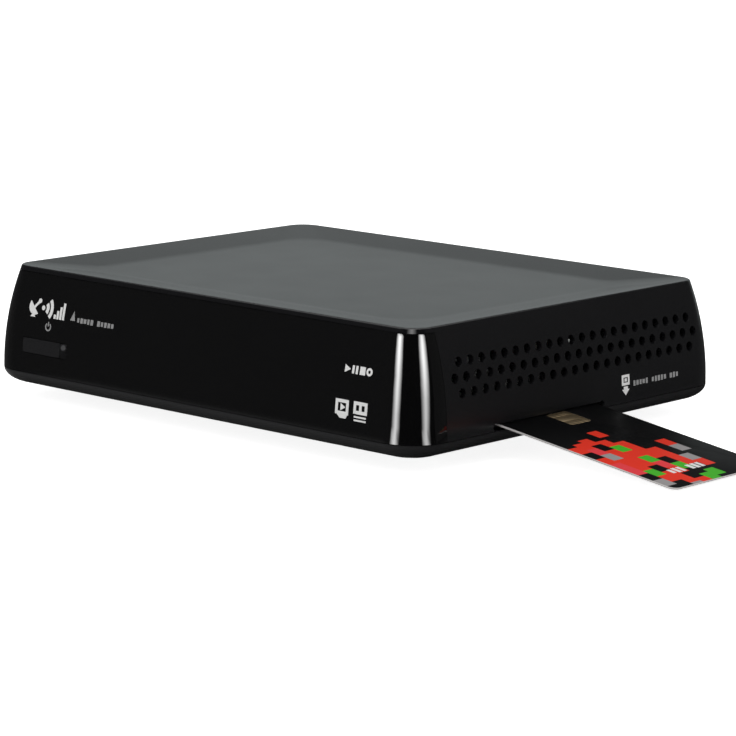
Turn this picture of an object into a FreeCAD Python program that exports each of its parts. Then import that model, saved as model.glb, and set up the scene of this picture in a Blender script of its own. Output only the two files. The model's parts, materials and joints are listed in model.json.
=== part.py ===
"""Small satellite television receiver with a smart-card reader in its right side.

Frame: millimetres, +Z up, -Y is the front, +X is the side with the card slot.
The origin is the centre of the case on the surface that the rubber feet stand on.
Each sub-part is written to its own STEP file in parts/.
"""

import FreeCAD, Part
import math
import os

Vector = FreeCAD.Vector

# Case, outside
BODY_WIDTH = 220.0        # X, across the widest line
BODY_DEPTH = 176.0        # Y, across the widest line
BODY_HEIGHT = 46.0        # underside to the rim of the top
FOOT_HEIGHT = 5.0
FLARE = 7.2               # the walls lean out by this from the rim down to the widest line
UNDER_HEIGHT = 6.5        # elliptical curve from the widest line in under the case
UNDER_REACH = 13.0
RIM_RADIUS = 8.0          # plan corner radius at the rim
RIM_LEDGE = 1.2           # level edge round the top
RIM_ROUNDING = 0.8
DISH_DEPTH = 2.3          # the middle of the top lies this much under its rim
DISH_MARGIN = 22.0        # sloping margin round it, with the ledge
DISH_RADIUS = 14.0        # plan corner radius of the level middle

# Case, mouldings
WALL = 2.2
FLOOR = 2.4
TRAY_WALL = 4.6           # rim of the base tray
LIP_THICK = 1.3           # lip that stands up from the rim inside the upper mouldings
LIP_HEIGHT = 3.5
LIP_PLAY = 0.25
GAP = 0.2                 # seam between neighbouring mouldings
BEZEL_DEPTH = 16.5        # the front moulding wraps the corners by this much
TOP_EDGE = 1.8            # edge of the top over the front moulding
JAMB = 2.5                # posts each side of the rear panel
REAR_OPENING = 188.0

# Vent holes in the side walls
VENT_RADIUS = 1.8
VENT_PITCH = 6.22
VENT_COUNTS = (22, 23, 22)
VENT_CENTRE_Y = 2.8
VENT_CENTRE_Z = 32.8

# Case screws
POST_X = 92.0
POST_Y = 60.0
POST_RADIUS = 3.6
BEZEL_POST_X = 30.0
BEZEL_POST_Y = -76.0
SCREW_RADIUS = 1.5
SCREW_PLAY = 0.08
SCREW_HEAD_RADIUS = 2.9
SCREW_HEAD = 1.6
FOOT_X = 70.0
FOOT_Y = 48.0
FOOT_RADIUS = 7.5

# Smart card, to the identity-card standard, and its path through the side wall
CARD_LENGTH = 85.6
CARD_WIDTH = 53.98
CARD_THICK = 0.76
CARD_CORNER = 3.18
CARD_TILT = 8.0           # degrees that the card points down outside the case
CARD_Y = -15.5
CARD_Z = 13.1
CARD_INSIDE = 9.0         # length of card inside the wall at rest
CHIP_LENGTH = 12.6
CHIP_WIDTH = 11.4
CHIP_THICK = 0.2
CHIP_FROM_END = 15.06
CHIP_OFF_CENTRE = 3.1
SLOT_WIDTH = 60.0
SLOT_HEIGHT = 0.9         # above the card's middle plane; below it the slot is open down to the tray
SLOT_END_RADIUS = 1.3

# Card reader, measured along the card, across it and square to it
READER_START = -4.0
READER_END = -72.0
READER_PLAY = 0.3
READER_RAIL = 3.0
READER_FLOOR = 1.5
READER_COVER = 0.4
READER_BOARD = 1.2
READER_BOARD_HALF = 34.5
READER_SCREW_Y = 32.4
READER_SCREW_S = (-14.0, -62.0)

# Standby button and the pieces behind it
KEY_WINDOW_X = (-90.5, -65.5)
KEY_WINDOW_Z = (19.1, 25.1)
KEY_PLAY = 0.25
LED_WINDOW = 3.6
SWITCH_X = -80.0
LED_X = -67.5
FRONT_BOARD_X = (-93.0, -47.0)
FRONT_BOARD_Y = (-78.0, -76.4)
FRONT_BOARD_Z = (13.0, 35.0)
KEY_GAP = 0.35            # between the key's stem and the plunger of its switch

# Main board
BOARD_THICK = 1.6
STANDOFF = 5.0
BOARD_X = (-84.0, 36.0)
BOARD_Y = (-56.0, 78.0)
ARM_X = 84.0
ARM_Y = 24.0
BOARD_SCREWS = ((-80.0, -52.0), (32.0, -52.0), (-80.0, 36.0), (32.0, 34.0), (79.0, 29.0))

# Rear panel and its sockets, X of each centre
PANEL_Y = 79.0
PANEL_THICK = 1.2
PANEL_TOP = 48.6
LNB_OUT_X = -76.0
LNB_IN_X = -58.0
LNB_Z = 22.5
LNB_RADIUS = 4.75
LNB_NECK = 4.2            # barrel radius under the nut
LNB_LENGTH = 11.5
NUT_THICK = 2.2
HDMI_X = -38.0
SCART_X = -5.0
RCA_X = 30.0
RCA_Z = 20.2
RCA_RADIUS = 4.15
USB_X = 46.5
JACK_X = 62.0
JACK_Z = 19.5
ROCKER_X = 80.0
ROCKER_Z = 28.0
ROCKER_TILT = 10.0

# Worked out from the above
BOTTOM_Z = FOOT_HEIGHT
WIDEST_Z = BOTTOM_Z + UNDER_HEIGHT
RIM_Z = BOTTOM_Z + BODY_HEIGHT
FLOOR_Z = BOTTOM_Z + FLOOR
WIDEST_REACH = RIM_RADIUS + FLARE
CORNER_X = BODY_WIDTH / 2 - WIDEST_REACH
CORNER_Y = BODY_DEPTH / 2 - WIDEST_REACH
FLARE_RADIUS = ((RIM_Z - WIDEST_Z) ** 2 + FLARE ** 2) / (2 * FLARE)
BEZEL_Y = BEZEL_DEPTH - BODY_DEPTH / 2
BEZEL_TOP = RIM_Z - TOP_EDGE - GAP
UNDER_TOP = RIM_Z - WALL
BOARD_Z = FLOOR_Z + STANDOFF
BOARD_TOP = BOARD_Z + BOARD_THICK
PANEL_BACK = PANEL_Y + PANEL_THICK
WALL_X = BODY_WIDTH / 2
ORIGIN = Vector(0, 0, 0)
X_AXIS = Vector(1, 0, 0)
Y_AXIS = Vector(0, 1, 0)
Z_AXIS = Vector(0, 0, 1)
FAR = 300.0


# Simple solids

def box(x, y, z):
    """A box between two limits on each axis."""
    return Part.makeBox(x[1] - x[0], y[1] - y[0], z[1] - z[0], Vector(x[0], y[0], z[0]))


def around(centre, size):
    """The two limits of a size about a centre."""
    return (centre - size / 2, centre + size / 2)


def block(centre_x, width, y, z):
    """A box centred on an X."""
    return box(around(centre_x, width), y, z)


def rod(radius, start, axis, length):
    """A cylinder from a point along an axis."""
    return Part.makeCylinder(radius, length, Vector(*start), axis)


def upright(radius, x, y, z):
    """A vertical cylinder between two heights."""
    return rod(radius, (x, y, z[0]), Z_AXIS, z[1] - z[0])


def rearward(radius, x, z, y):
    """A cylinder along Y between two depths."""
    return rod(radius, (x, y[0], z), Y_AXIS, y[1] - y[0])


def prism(points, direction):
    """The polygon through the points, pushed along a direction."""
    corners = [Vector(*p) for p in points]
    return Part.Face(Part.makePolygon(corners + corners[:1])).extrude(direction)


def rounded_box(x, y, z, radius, axis):
    """A box whose four edges along one axis are rounded."""
    solid = box(x, y, z)
    edges = [e for e in solid.Edges if abs(e.tangentAt(e.FirstParameter).dot(axis)) > 0.99]
    return solid.makeFillet(radius, edges)


def united(first, others):
    """One solid from a solid and the ones that are fused to it."""
    return first.multiFuse(others).removeSplitter()


def mirrored(shape):
    """The shape mirrored to the other side of the case."""
    return shape.mirror(ORIGIN, X_AXIS)


# Case form

def wall_reach(z, inset=0.0):
    """How far the wall stands out from a corner's centre line at a height."""
    rise = max(z - WIDEST_Z, 0.0)
    return WIDEST_REACH - FLARE_RADIUS + math.sqrt((FLARE_RADIUS - inset) ** 2 - rise ** 2)


def side_profile(inset, z_low, z_high):
    """Half section of the case in XZ, from a corner's centre line out to the wall.

    Below the widest line the outer form curves in to the underside, and an inner form drops straight.
    """
    base = max(z_low, WIDEST_Z)
    heights = (base, (base + z_high) / 2, z_high)
    low, middle, high = [Vector(wall_reach(z, inset), 0, z) for z in heights]
    edges = []
    foot = low
    if z_low < WIDEST_Z and inset == 0:
        foot = Vector(WIDEST_REACH - UNDER_REACH, 0, BOTTOM_Z)
        curve = Part.Ellipse(low, foot, Vector(foot.x, 0, WIDEST_Z))
        edges.append(Part.ArcOfEllipse(curve, 0, math.pi / 2).toShape())
    elif z_low < WIDEST_Z:
        foot = Vector(low.x, 0, z_low)
        edges.append(Part.makeLine(foot, low))
    axis_high = Vector(0, 0, z_high)
    axis_low = Vector(0, 0, foot.z)
    edges.append(Part.Arc(low, middle, high).toShape())
    edges.append(Part.makeLine(high, axis_high))
    edges.append(Part.makeLine(axis_high, axis_low))
    edges.append(Part.makeLine(axis_low, foot))
    return Part.Face(Part.Wire(edges))


def case_form(inset, z_low, z_high):
    """The flared, round-cornered form of the case, drawn in by an inset, between two heights."""
    profile = side_profile(inset, z_low, z_high)
    floor = profile.BoundBox.ZMin
    core = box((-CORNER_X, CORNER_X), (-CORNER_Y, CORNER_Y), (floor, z_high))
    pieces = []
    for quarter in range(4):
        half, run = (CORNER_X, CORNER_Y) if quarter % 2 == 0 else (CORNER_Y, CORNER_X)
        wall = profile.copy()
        wall.translate(Vector(half, -run, 0))
        wall = wall.extrude(Vector(0, 2 * run, 0))
        corner = profile.revolve(ORIGIN, Z_AXIS, 90)
        corner.translate(Vector(half, run, 0))
        for piece in (wall, corner):
            piece.rotate(ORIGIN, Z_AXIS, 90 * quarter)
            pieces.append(piece)
    return united(core, pieces)


def dish_outline(share):
    """The outline of the top's hollow at a share of its margin, at its height there.

    The margin slopes down evenly up to a share and then rounds off into the level middle.
    """
    even = 0.75
    fall = share / (0.5 + even / 2)
    if share > even:
        fall = 1 - (1 - share) ** 2 / (1 - even ** 2)
    z = RIM_Z - DISH_DEPTH * fall
    drawn_in = RIM_LEDGE + (DISH_MARGIN - RIM_LEDGE) * share
    radius = RIM_RADIUS + (DISH_RADIUS - RIM_RADIUS) * share
    x = CORNER_X + RIM_RADIUS - drawn_in
    y = CORNER_Y + RIM_RADIUS - drawn_in
    slant = radius * math.sqrt(0.5)
    edges = []
    for cx, cy, dx, dy in ((1, -1, 0, -1), (1, 1, 1, 0), (-1, 1, 0, 1), (-1, -1, -1, 0)):
        centre = Vector(cx * (x - radius), cy * (y - radius), z)
        start = centre + Vector(dx * radius, dy * radius, 0)
        end = centre + Vector(-dy * radius, dx * radius, 0)
        middle = centre + Vector(cx * slant, cy * slant, 0)
        if edges:
            edges.append(Part.makeLine(edges[-1].Vertexes[-1].Point, start))
        edges.append(Part.Arc(start, middle, end).toShape())
    edges.append(Part.makeLine(edges[-1].Vertexes[-1].Point, edges[0].Vertexes[0].Point))
    return Part.Wire(edges)


def dish(below=0.0):
    """The shallow hollow of the top with its sloping margin, or the same form further down."""
    outlines = [dish_outline(share) for share in (0.0, 0.25, 0.5, 0.75, 0.875, 1.0)]
    hollow = Part.makeLoft(outlines, True, True)
    hollow.translate(Vector(0, 0, -below))
    return hollow


def post_places():
    """Where the four long case screws stand."""
    return [(x, y) for x in (-POST_X, POST_X) for y in (-POST_Y, POST_Y)]


def bezel_post_places():
    """Where the two short screws of the front moulding stand."""
    return [(-BEZEL_POST_X, BEZEL_POST_Y), (BEZEL_POST_X, BEZEL_POST_Y)]


# Placing along the card's path

def on_card_path(shape):
    """Moves a shape that was made along X, about the card's middle plane and centre line, to the path.

    Zero along the path is the outer face of the side wall, and the card leaves towards +X and down.
    """
    shape.rotate(ORIGIN, Y_AXIS, CARD_TILT)
    shape.translate(Vector(WALL_X, CARD_Y, CARD_Z))
    return shape


def card_slot():
    """The slot in the lower edge of the side wall, with a round hole at each end."""
    half = SLOT_WIDTH / 2
    slot = box((-8, 8), (-half, half), (-5, SLOT_HEIGHT))
    ends = [rod(SLOT_END_RADIUS, (-8, y, 0), X_AXIS, 16) for y in (-half, half)]
    return on_card_path(united(slot, ends))


# Mouldings of the case

def vent_holes():
    """Three staggered rows of round holes through one side wall."""
    holes = []
    for row, count in enumerate(VENT_COUNTS):
        z = VENT_CENTRE_Z + (1 - row) * VENT_PITCH * math.sin(math.radians(60))
        for i in range(count):
            y = VENT_CENTRE_Y + (i - (count - 1) / 2) * VENT_PITCH
            holes.append(rod(VENT_RADIUS, (WALL_X - 20, y, z), X_AXIS, 40))
    return Part.makeCompound(holes)


def top_cover():
    """Top plate and side walls in one moulding, with posts for the case screws."""
    outer = case_form(0, WIDEST_Z + GAP / 2, RIM_Z)
    rim = [edge for edge in outer.Edges if edge.BoundBox.ZMin > RIM_Z - 0.01]
    outer = outer.makeFillet(RIM_ROUNDING, rim).cut(dish())
    shell = outer.cut(case_form(WALL, WIDEST_Z, UNDER_TOP).cut(dish(WALL)))
    shell = shell.cut(box((-FAR, FAR), (-FAR, BEZEL_Y), (0, RIM_Z - TOP_EDGE)))
    half = REAR_OPENING / 2
    shell = shell.cut(box((-half, half), (PANEL_Y - 3, FAR), (0, UNDER_TOP)))
    solid_case = case_form(0, WIDEST_Z + GAP / 2, UNDER_TOP)
    jamb = solid_case.common(box((half, half + JAMB), (PANEL_Y - 3, FAR), (0, RIM_Z)))
    ear = box((half - 8, half + 1), (PANEL_Y - 7, PANEL_Y - GAP), (38.5, UNDER_TOP))
    ear = ear.cut(rearward(1.25 + SCREW_PLAY, half - 4.5, 43, (PANEL_Y - 6, PANEL_Y)))
    posts = [upright(POST_RADIUS, x, y, (FLOOR_Z + 3.6, UNDER_TOP)) for x, y in post_places()]
    shell = united(shell, [jamb, ear, mirrored(jamb), mirrored(ear)] + posts)
    bores = [upright(SCREW_RADIUS + SCREW_PLAY, x, y, (0, 24)) for x, y in post_places()]
    holes = vent_holes()
    cuts = bores + [holes, mirrored(holes), card_slot()]
    return shell.cut(Part.makeCompound(cuts))


def key_window():
    """The opening in the front for the standby key and the light window."""
    return rounded_box(KEY_WINDOW_X, (-FAR, -CORNER_Y), KEY_WINDOW_Z, 0.8, Y_AXIS)


def front_board_posts():
    """Where the front board is screwed to the front moulding."""
    return [(x, FRONT_BOARD_Z[1] - 5) for x in (FRONT_BOARD_X[0] + 5, FRONT_BOARD_X[1] - 5)]


def front_bezel():
    """Gloss front that wraps both front corners."""
    front = box((-FAR, FAR), (-FAR, BEZEL_Y - GAP), (0, FAR))
    shell = case_form(0, WIDEST_Z + GAP / 2, BEZEL_TOP).cut(case_form(WALL, WIDEST_Z, RIM_Z))
    shell = shell.common(front)
    z = (WIDEST_Z - 0.4, WIDEST_Z + 8)
    inside = -CORNER_Y - wall_reach(z[1], WALL) - 0.5
    added = []
    for x, y in bezel_post_places():
        rib_z = (WIDEST_Z + GAP, z[1])
        added.append(upright(POST_RADIUS, x, y, z))
        added.append(block(x, 3, (inside, y - SCREW_RADIUS - 1), rib_z))
    for x, height in front_board_posts():
        added.append(rearward(2.6, x, height, (-CORNER_Y - 12, FRONT_BOARD_Y[0])))
    shell = united(shell, added)
    cuts = [upright(SCREW_RADIUS + SCREW_PLAY, x, y, (0, z[1] - 1)) for x, y in bezel_post_places()]
    cuts += [rearward(1.0 + SCREW_PLAY, x, h, (-83, -75)) for x, h in front_board_posts()]
    cuts.append(key_window())
    return shell.cut(Part.makeCompound(cuts))


def reader_rib(side):
    """Wedge on the base tray that carries one edge of the card reader's board."""
    y = CARD_Y + side * READER_SCREW_Y
    rib = box((42, 103), (y - 2.0, y + 2.0), (FLOOR_Z - 1, 30))
    above = -CARD_THICK / 2 - READER_PLAY - READER_FLOOR - READER_BOARD
    return rib.cut(on_card_path(box((-120, 40), (-60, 60), (above, 60))))


def base_tray():
    """Floor and under-curved rim, with bosses, standoffs and a lip inside the upper mouldings."""
    top = WIDEST_Z - GAP / 2
    outer = case_form(0, BOTTOM_Z, RIM_Z).common(box((-FAR, FAR), (-FAR, FAR), (0, top)))
    tray = outer.cut(case_form(TRAY_WALL, FLOOR_Z, RIM_Z))
    rear_rim = outer.common(box((-FAR, FAR), (PANEL_BACK + GAP, FAR), (0, RIM_Z)))
    lip = case_form(WALL + LIP_PLAY, WIDEST_Z - 1, WIDEST_Z + LIP_HEIGHT)
    lip = lip.cut(case_form(WALL + LIP_PLAY + LIP_THICK, 0, RIM_Z))
    lip_gaps = [block(0, REAR_OPENING + 2 * JAMB + 1, (PANEL_Y - 4, FAR), (top, FAR))]
    lip_gaps.append(box((CORNER_X, FAR), around(CARD_Y, SLOT_WIDTH + 8), (top, FAR)))
    lip_gaps += [block(x, 9, (-FAR, -CORNER_Y), (top, FAR)) for x, _ in bezel_post_places()]
    lip = lip.cut(Part.makeCompound(lip_gaps))
    bosses = [upright(4.2, x, y, (FLOOR_Z - 1, FLOOR_Z + 3.4)) for x, y in post_places()]
    bosses += [upright(4.2, x, y, (FLOOR_Z - 1, FLOOR_Z + 3.4)) for x, y in bezel_post_places()]
    bosses += [upright(3.2, x, y, (FLOOR_Z - 1, BOARD_Z)) for x, y in BOARD_SCREWS]
    ribs = [reader_rib(-1), reader_rib(1)]
    tray = united(tray, [rear_rim, lip] + bosses + ribs)
    cuts = []
    for x, y in post_places() + bezel_post_places():
        cuts.append(upright(SCREW_RADIUS + 0.3, x, y, (0, WIDEST_Z)))
        cuts.append(upright(SCREW_HEAD_RADIUS + 0.4, x, y, (0, BOTTOM_Z + SCREW_HEAD + 0.3)))
    cuts += [upright(SCREW_RADIUS + SCREW_PLAY, x, y, (FLOOR_Z - 0.5, FAR)) for x, y in BOARD_SCREWS]
    for side in (-1, 1):
        for s in READER_SCREW_S:
            hole = rod(1.0 + SCREW_PLAY, (s, side * READER_SCREW_Y, -6.5), Z_AXIS, 6.5)
            cuts.append(on_card_path(hole))
    for x in (-FOOT_X, FOOT_X):
        for y in (-FOOT_Y, FOOT_Y):
            cuts.append(upright(FOOT_RADIUS, x, y, (BOTTOM_Z - 1, BOTTOM_Z + 0.8)))
    for i in range(9):
        for y in (-34, 4):
            cuts.append(block(-44 + 8 * i, 3, (y, y + 30), (0, FLOOR_Z + 1)))
    return tray.cut(Part.makeCompound(cuts))


def rubber_feet():
    """Four rubber discs, each seated in a shallow recess of the tray."""
    feet = []
    for x in (-FOOT_X, FOOT_X):
        for y in (-FOOT_Y, FOOT_Y):
            foot = upright(FOOT_RADIUS, x, y, (0, FOOT_HEIGHT + 0.8))
            rim = [e for e in foot.Edges if e.BoundBox.ZMax < 0.01]
            feet.append(foot.makeFillet(1.0, rim))
    return Part.makeCompound(feet)


def screw(radius, length, head_radius, head, start, direction):
    """A screw whose head lies before the start point and whose shank runs on from it."""
    x, y, z = start
    back = Vector(x, y, z) - direction * head
    cap = Part.makeCylinder(head_radius, head, back, direction)
    cross = [box((-0.4, 0.4), (-head_radius * 0.6, head_radius * 0.6), (-1, head * 0.5))]
    cross.append(box((-head_radius * 0.6, head_radius * 0.6), (-0.4, 0.4), (-1, head * 0.5)))
    turn = FreeCAD.Placement(back, FreeCAD.Rotation(Z_AXIS, direction))
    recess = Part.makeCompound(cross)
    recess.Placement = turn
    shank = Part.makeCylinder(radius, length, Vector(x, y, z), direction)
    return united(cap, [shank]).cut(recess)


def case_screws():
    """Six screws up through the tray: four long ones into the cover, two short ones into the front."""
    z = BOTTOM_Z + SCREW_HEAD + 0.2
    places = [(x, y, 14.0) for x, y in post_places()] + [(x, y, 10.0) for x, y in bezel_post_places()]
    screws = [screw(SCREW_RADIUS, length, SCREW_HEAD_RADIUS, SCREW_HEAD, (x, y, z), Z_AXIS)
              for x, y, length in places]
    return Part.makeCompound(screws)


# Main board

def main_board():
    """L-shaped circuit board on the tray's standoffs, clear of the card reader."""
    board = united(box(BOARD_X, BOARD_Y, (BOARD_Z, BOARD_TOP)),
                   [box((BOARD_X[1] - 1, ARM_X), (ARM_Y, BOARD_Y[1]), (BOARD_Z, BOARD_TOP))])
    holes = [upright(SCREW_RADIUS + 0.2, x, y, (0, FAR)) for x, y in BOARD_SCREWS]
    return board.cut(Part.makeCompound(holes))


def board_screws():
    """Screws that hold the main board."""
    down = Vector(0, 0, -1)
    return Part.makeCompound([screw(SCREW_RADIUS, 5.8, 2.7, 1.5, (x, y, BOARD_TOP), down)
                              for x, y in BOARD_SCREWS])


MAIN_CHIP = (-22.0, -8.0)
CHIP_SIZE = 27.0
CHIP_HEIGHT = 2.2
SINK_SIZE = 36.0
SINK_BASE = 2.5
SINK_HEIGHT = 12.0
SINK_FINS = 9


def main_chip():
    """The decoder chip."""
    x, y = MAIN_CHIP
    return box(around(x, CHIP_SIZE), around(y, CHIP_SIZE), (BOARD_TOP, BOARD_TOP + CHIP_HEIGHT))


def heat_sink():
    """Finned aluminium block on the decoder chip."""
    x, y = MAIN_CHIP
    half = SINK_SIZE / 2
    z = BOARD_TOP + CHIP_HEIGHT
    base = box((x - half, x + half), (y - half, y + half), (z, z + SINK_BASE))
    fins = []
    for i in range(SINK_FINS):
        left = x - half + i * (SINK_SIZE - 1.2) / (SINK_FINS - 1)
        fins.append(box((left, left + 1.2), (y - half, y + half), (z + SINK_BASE - 0.5, z + SINK_HEIGHT)))
    return united(base, fins)


def chips(places, width, depth, height):
    """A group of flat chip packages."""
    z = (BOARD_TOP, BOARD_TOP + height)
    return Part.makeCompound([box(around(x, width), around(y, depth), z) for x, y in places])


def memory_chips():
    """Two working-memory chips beside the decoder."""
    return chips(((14, -20), (14, 2)), 9, 13, 1.2)


def flash_chip():
    """Program memory."""
    return chips(((-60, -14),), 12, 18, 1.2)


def clock_crystal():
    """Low metal can of the clock crystal, with round ends."""
    z = (BOARD_TOP, BOARD_TOP + 3.6)
    return rounded_box((-28, -17), (-36, -31.5), z, 2.2, Z_AXIS)


def capacitors():
    """Electrolytic capacitors: can with a grooved neck near the board."""
    cans = []
    for x, y, radius, height in ((48, 34, 5, 16), (60, 34, 5, 16), (50, 50, 4, 12), (-40, 36, 4, 12),
                                 (-30, 36, 4, 12), (8, 30, 3.2, 11), (-66, 20, 3.2, 11)):
        neck = Part.makeTorus(radius + 0.25, 0.7, Vector(x, y, BOARD_TOP + 2.2), Z_AXIS)
        cans.append(upright(radius, x, y, (BOARD_TOP, BOARD_TOP + height)).cut(neck))
    return Part.makeCompound(cans)


def power_coils():
    """Square shielded coils of the power converters."""
    coils = []
    for x, y in ((70, 38), (70, 52), (22, 46)):
        body = rounded_box(around(x, 9), around(y, 9), (BOARD_TOP, BOARD_TOP + 4.5), 1.5, Z_AXIS)
        coils.append(body.cut(upright(3.2, x, y, (BOARD_TOP + 4.1, FAR))))
    return Part.makeCompound(coils)


# Tuner and the two threaded aerial connectors

TUNER_X = (-83.0, -51.0)
TUNER_Y = (46.0, 77.4)
TUNER_TOP = 30.5
TUNER_SHEET = 0.5


def tuner_can():
    """Soldered sheet-steel frame round the tuner, open above."""
    outer = box(TUNER_X, TUNER_Y, (BOARD_TOP, TUNER_TOP))
    t = TUNER_SHEET
    inner = box((TUNER_X[0] + t, TUNER_X[1] - t), (TUNER_Y[0] + t, TUNER_Y[1] - t), (BOARD_TOP + t, FAR))
    wall = block((TUNER_X[0] + TUNER_X[1]) / 2, t, TUNER_Y, (BOARD_TOP, TUNER_TOP))
    return united(outer.cut(inner), [wall])


def tuner_lid():
    """Sprung lid that closes the tuner can."""
    t = TUNER_SHEET
    lid = box((TUNER_X[0] - t, TUNER_X[1] + t), (TUNER_Y[0] - t, TUNER_Y[1] + t),
              (TUNER_TOP - 4, TUNER_TOP + t))
    return lid.cut(box(TUNER_X, TUNER_Y, (0, TUNER_TOP)))


def lnb_connector(x):
    """Threaded barrel with a neck under its nut and a flange behind the panel."""
    flange = rearward(6.0, x, LNB_Z, (TUNER_Y[1] + TUNER_SHEET + 0.1, PANEL_Y))
    neck = rearward(LNB_NECK, x, LNB_Z, (PANEL_Y - 0.5, PANEL_BACK + NUT_THICK + 0.5))
    barrel = rearward(LNB_RADIUS, x, LNB_Z, (PANEL_BACK + NUT_THICK, PANEL_BACK + LNB_LENGTH))
    tip = [e for e in barrel.Edges if e.BoundBox.YMin > PANEL_BACK + LNB_LENGTH - 0.1]
    body = united(flange, [neck, barrel.makeChamfer(0.5, tip)])
    return body.cut(rearward(3.4, x, LNB_Z, (PANEL_BACK, FAR)))


def lnb_insulators():
    """White insulator in each aerial connector, with the hole for the cable's core."""
    parts = []
    for x in (LNB_OUT_X, LNB_IN_X):
        core = rearward(3.4, x, LNB_Z, (PANEL_BACK, PANEL_BACK + LNB_LENGTH - 0.8))
        parts.append(core.cut(rearward(0.55, x, LNB_Z, (PANEL_BACK + 2, FAR))))
    return Part.makeCompound(parts)


def hexagon(x, z, y, across, bore):
    """A nut along Y."""
    reach = across / math.sqrt(3)
    points = [(x + reach * math.cos(math.radians(60 * i)), y[0], z + reach * math.sin(math.radians(60 * i)))
              for i in range(6)]
    return prism(points, Vector(0, y[1] - y[0], 0)).cut(rearward(bore, x, z, (y[0] - 1, y[1] + 1)))


def lnb_nuts():
    """Nuts that clamp the aerial connectors to the panel."""
    y = (PANEL_BACK, PANEL_BACK + NUT_THICK)
    return Part.makeCompound([hexagon(x, LNB_Z, y, 11.2, LNB_NECK + 0.05) for x in (LNB_OUT_X, LNB_IN_X)])


# Sockets along the rear edge

SOCKET_FACE = PANEL_BACK + 0.7
HDMI_OUTLINE = ((-7.5, 2.8), (7.5, 2.8), (7.5, -0.9), (5.6, -2.8), (-5.6, -2.8), (-7.5, -0.9))
HDMI_Z = BOARD_TOP + 2.9
HDMI_INSIDE = 0.82        # inner outline of the shell as a share of the outer one
USB_Z = BOARD_TOP + 3.0
SCART_OUTLINE = ((-21.5, -6.6), (21.5, -6.6), (21.5, 2.2), (17.1, 6.6), (-21.5, 6.6))
SCART_Z = BOARD_TOP + 8.6
SCART_BLOCK = (0.9, 0.72) # inner block of the socket as a share of the groove's outline
SCART_PITCH = 3.81
SCART_SLOT_DEPTH = 6.0


def outline_prism(outline, x, z, y, share_x=1.0, share_z=1.0):
    """An outline in XZ, scaled about a centre and pushed along Y."""
    points = [(x + px * share_x, y[0], z + pz * share_z) for px, pz in outline]
    return prism(points, Vector(0, y[1] - y[0], 0))


def hdmi_shell():
    """Bent steel shell of the digital picture socket."""
    outer = outline_prism(HDMI_OUTLINE, HDMI_X, HDMI_Z, (66.5, SOCKET_FACE))
    inner = outline_prism(HDMI_OUTLINE, HDMI_X, HDMI_Z, (67, FAR), 0.935, HDMI_INSIDE)
    return outer.cut(inner)


def hdmi_tongue():
    """Contact tongue and its block inside the picture socket."""
    back = outline_prism(HDMI_OUTLINE, HDMI_X, HDMI_Z, (67, 71), 0.935, HDMI_INSIDE)
    tongue = block(HDMI_X, 11.2, (70, SOCKET_FACE - 1.5), (HDMI_Z - 0.1, HDMI_Z + 0.8))
    return united(back, [tongue])


def scart_places():
    """The 20 contact places of the video socket, in two offset rows."""
    places = []
    for z, shift in ((-2.2, 0.0), (2.2, 0.6)):
        places += [(SCART_X + shift + (i - 4.5) * SCART_PITCH, SCART_Z + z) for i in range(10)]
    return places


def scart_socket():
    """Wide video socket: a block with two rows of contact slots in a D-shaped groove."""
    body = block(SCART_X, 47, (66, SOCKET_FACE), (BOARD_TOP, BOARD_TOP + 17))
    groove = outline_prism(SCART_OUTLINE, SCART_X, SCART_Z, (72, FAR))
    island = outline_prism(SCART_OUTLINE, SCART_X, SCART_Z, (71, SOCKET_FACE - 0.8), *SCART_BLOCK)
    y = (SOCKET_FACE - SCART_SLOT_DEPTH, FAR)
    slots = [box(around(x, 1.0), y, around(z, 2.6)) for x, z in scart_places()]
    return united(body.cut(groove), [island]).cut(Part.makeCompound(slots))


def scart_contacts():
    """Spring contact in each slot of the video socket."""
    y = (SOCKET_FACE - SCART_SLOT_DEPTH, SOCKET_FACE - 2)
    return Part.makeCompound([box(around(x, 0.5), y, around(z, 1.8)) for x, z in scart_places()])


def rca_body():
    """Moulded housing of the round audio socket, with the insulator inside its barrel."""
    body = block(RCA_X, 10, (66, PANEL_Y - GAP), (BOARD_TOP, BOARD_TOP + 12.4))
    core = rearward(3.5, RCA_X, RCA_Z, (PANEL_Y - 1, PANEL_BACK + 8.4))
    hole = rearward(1.65, RCA_X, RCA_Z, (PANEL_Y - 4, FAR))
    return united(body, [core]).cut(hole)


def rca_barrel():
    """Metal barrel of the round audio socket."""
    barrel = rearward(RCA_RADIUS, RCA_X, RCA_Z, (PANEL_Y - GAP, PANEL_BACK + 9.0))
    collar = rearward(5.2, RCA_X, RCA_Z, (PANEL_BACK, PANEL_BACK + 1.0))
    return united(barrel, [collar]).cut(rearward(3.5, RCA_X, RCA_Z, (0, FAR)))


def usb_shell():
    """Steel shell of the data socket."""
    outer = block(USB_X, 13.1, (63, SOCKET_FACE), (USB_Z - 2.9, USB_Z + 2.9))
    return outer.cut(block(USB_X, 12.4, (63.4, FAR), (USB_Z - 2.55, USB_Z + 2.55)))


def usb_tongue():
    """Contact tongue and its block inside the data socket."""
    back = block(USB_X, 12.4, (63.4, 69), (USB_Z - 2.55, USB_Z + 2.55))
    tongue = block(USB_X, 11.0, (68, SOCKET_FACE - 1.2), (USB_Z + 0.3, USB_Z + 2.1))
    return united(back, [tongue])


def jack_body():
    """Moulded body of the low-voltage power inlet."""
    body = block(JACK_X, 9, (66, PANEL_Y - GAP), (BOARD_TOP, BOARD_TOP + 11))
    nose = rearward(4.3, JACK_X, JACK_Z, (PANEL_Y - 1, SOCKET_FACE))
    return united(body, [nose]).cut(rearward(3.15, JACK_X, JACK_Z, (SOCKET_FACE - 9.5, FAR)))


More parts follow.
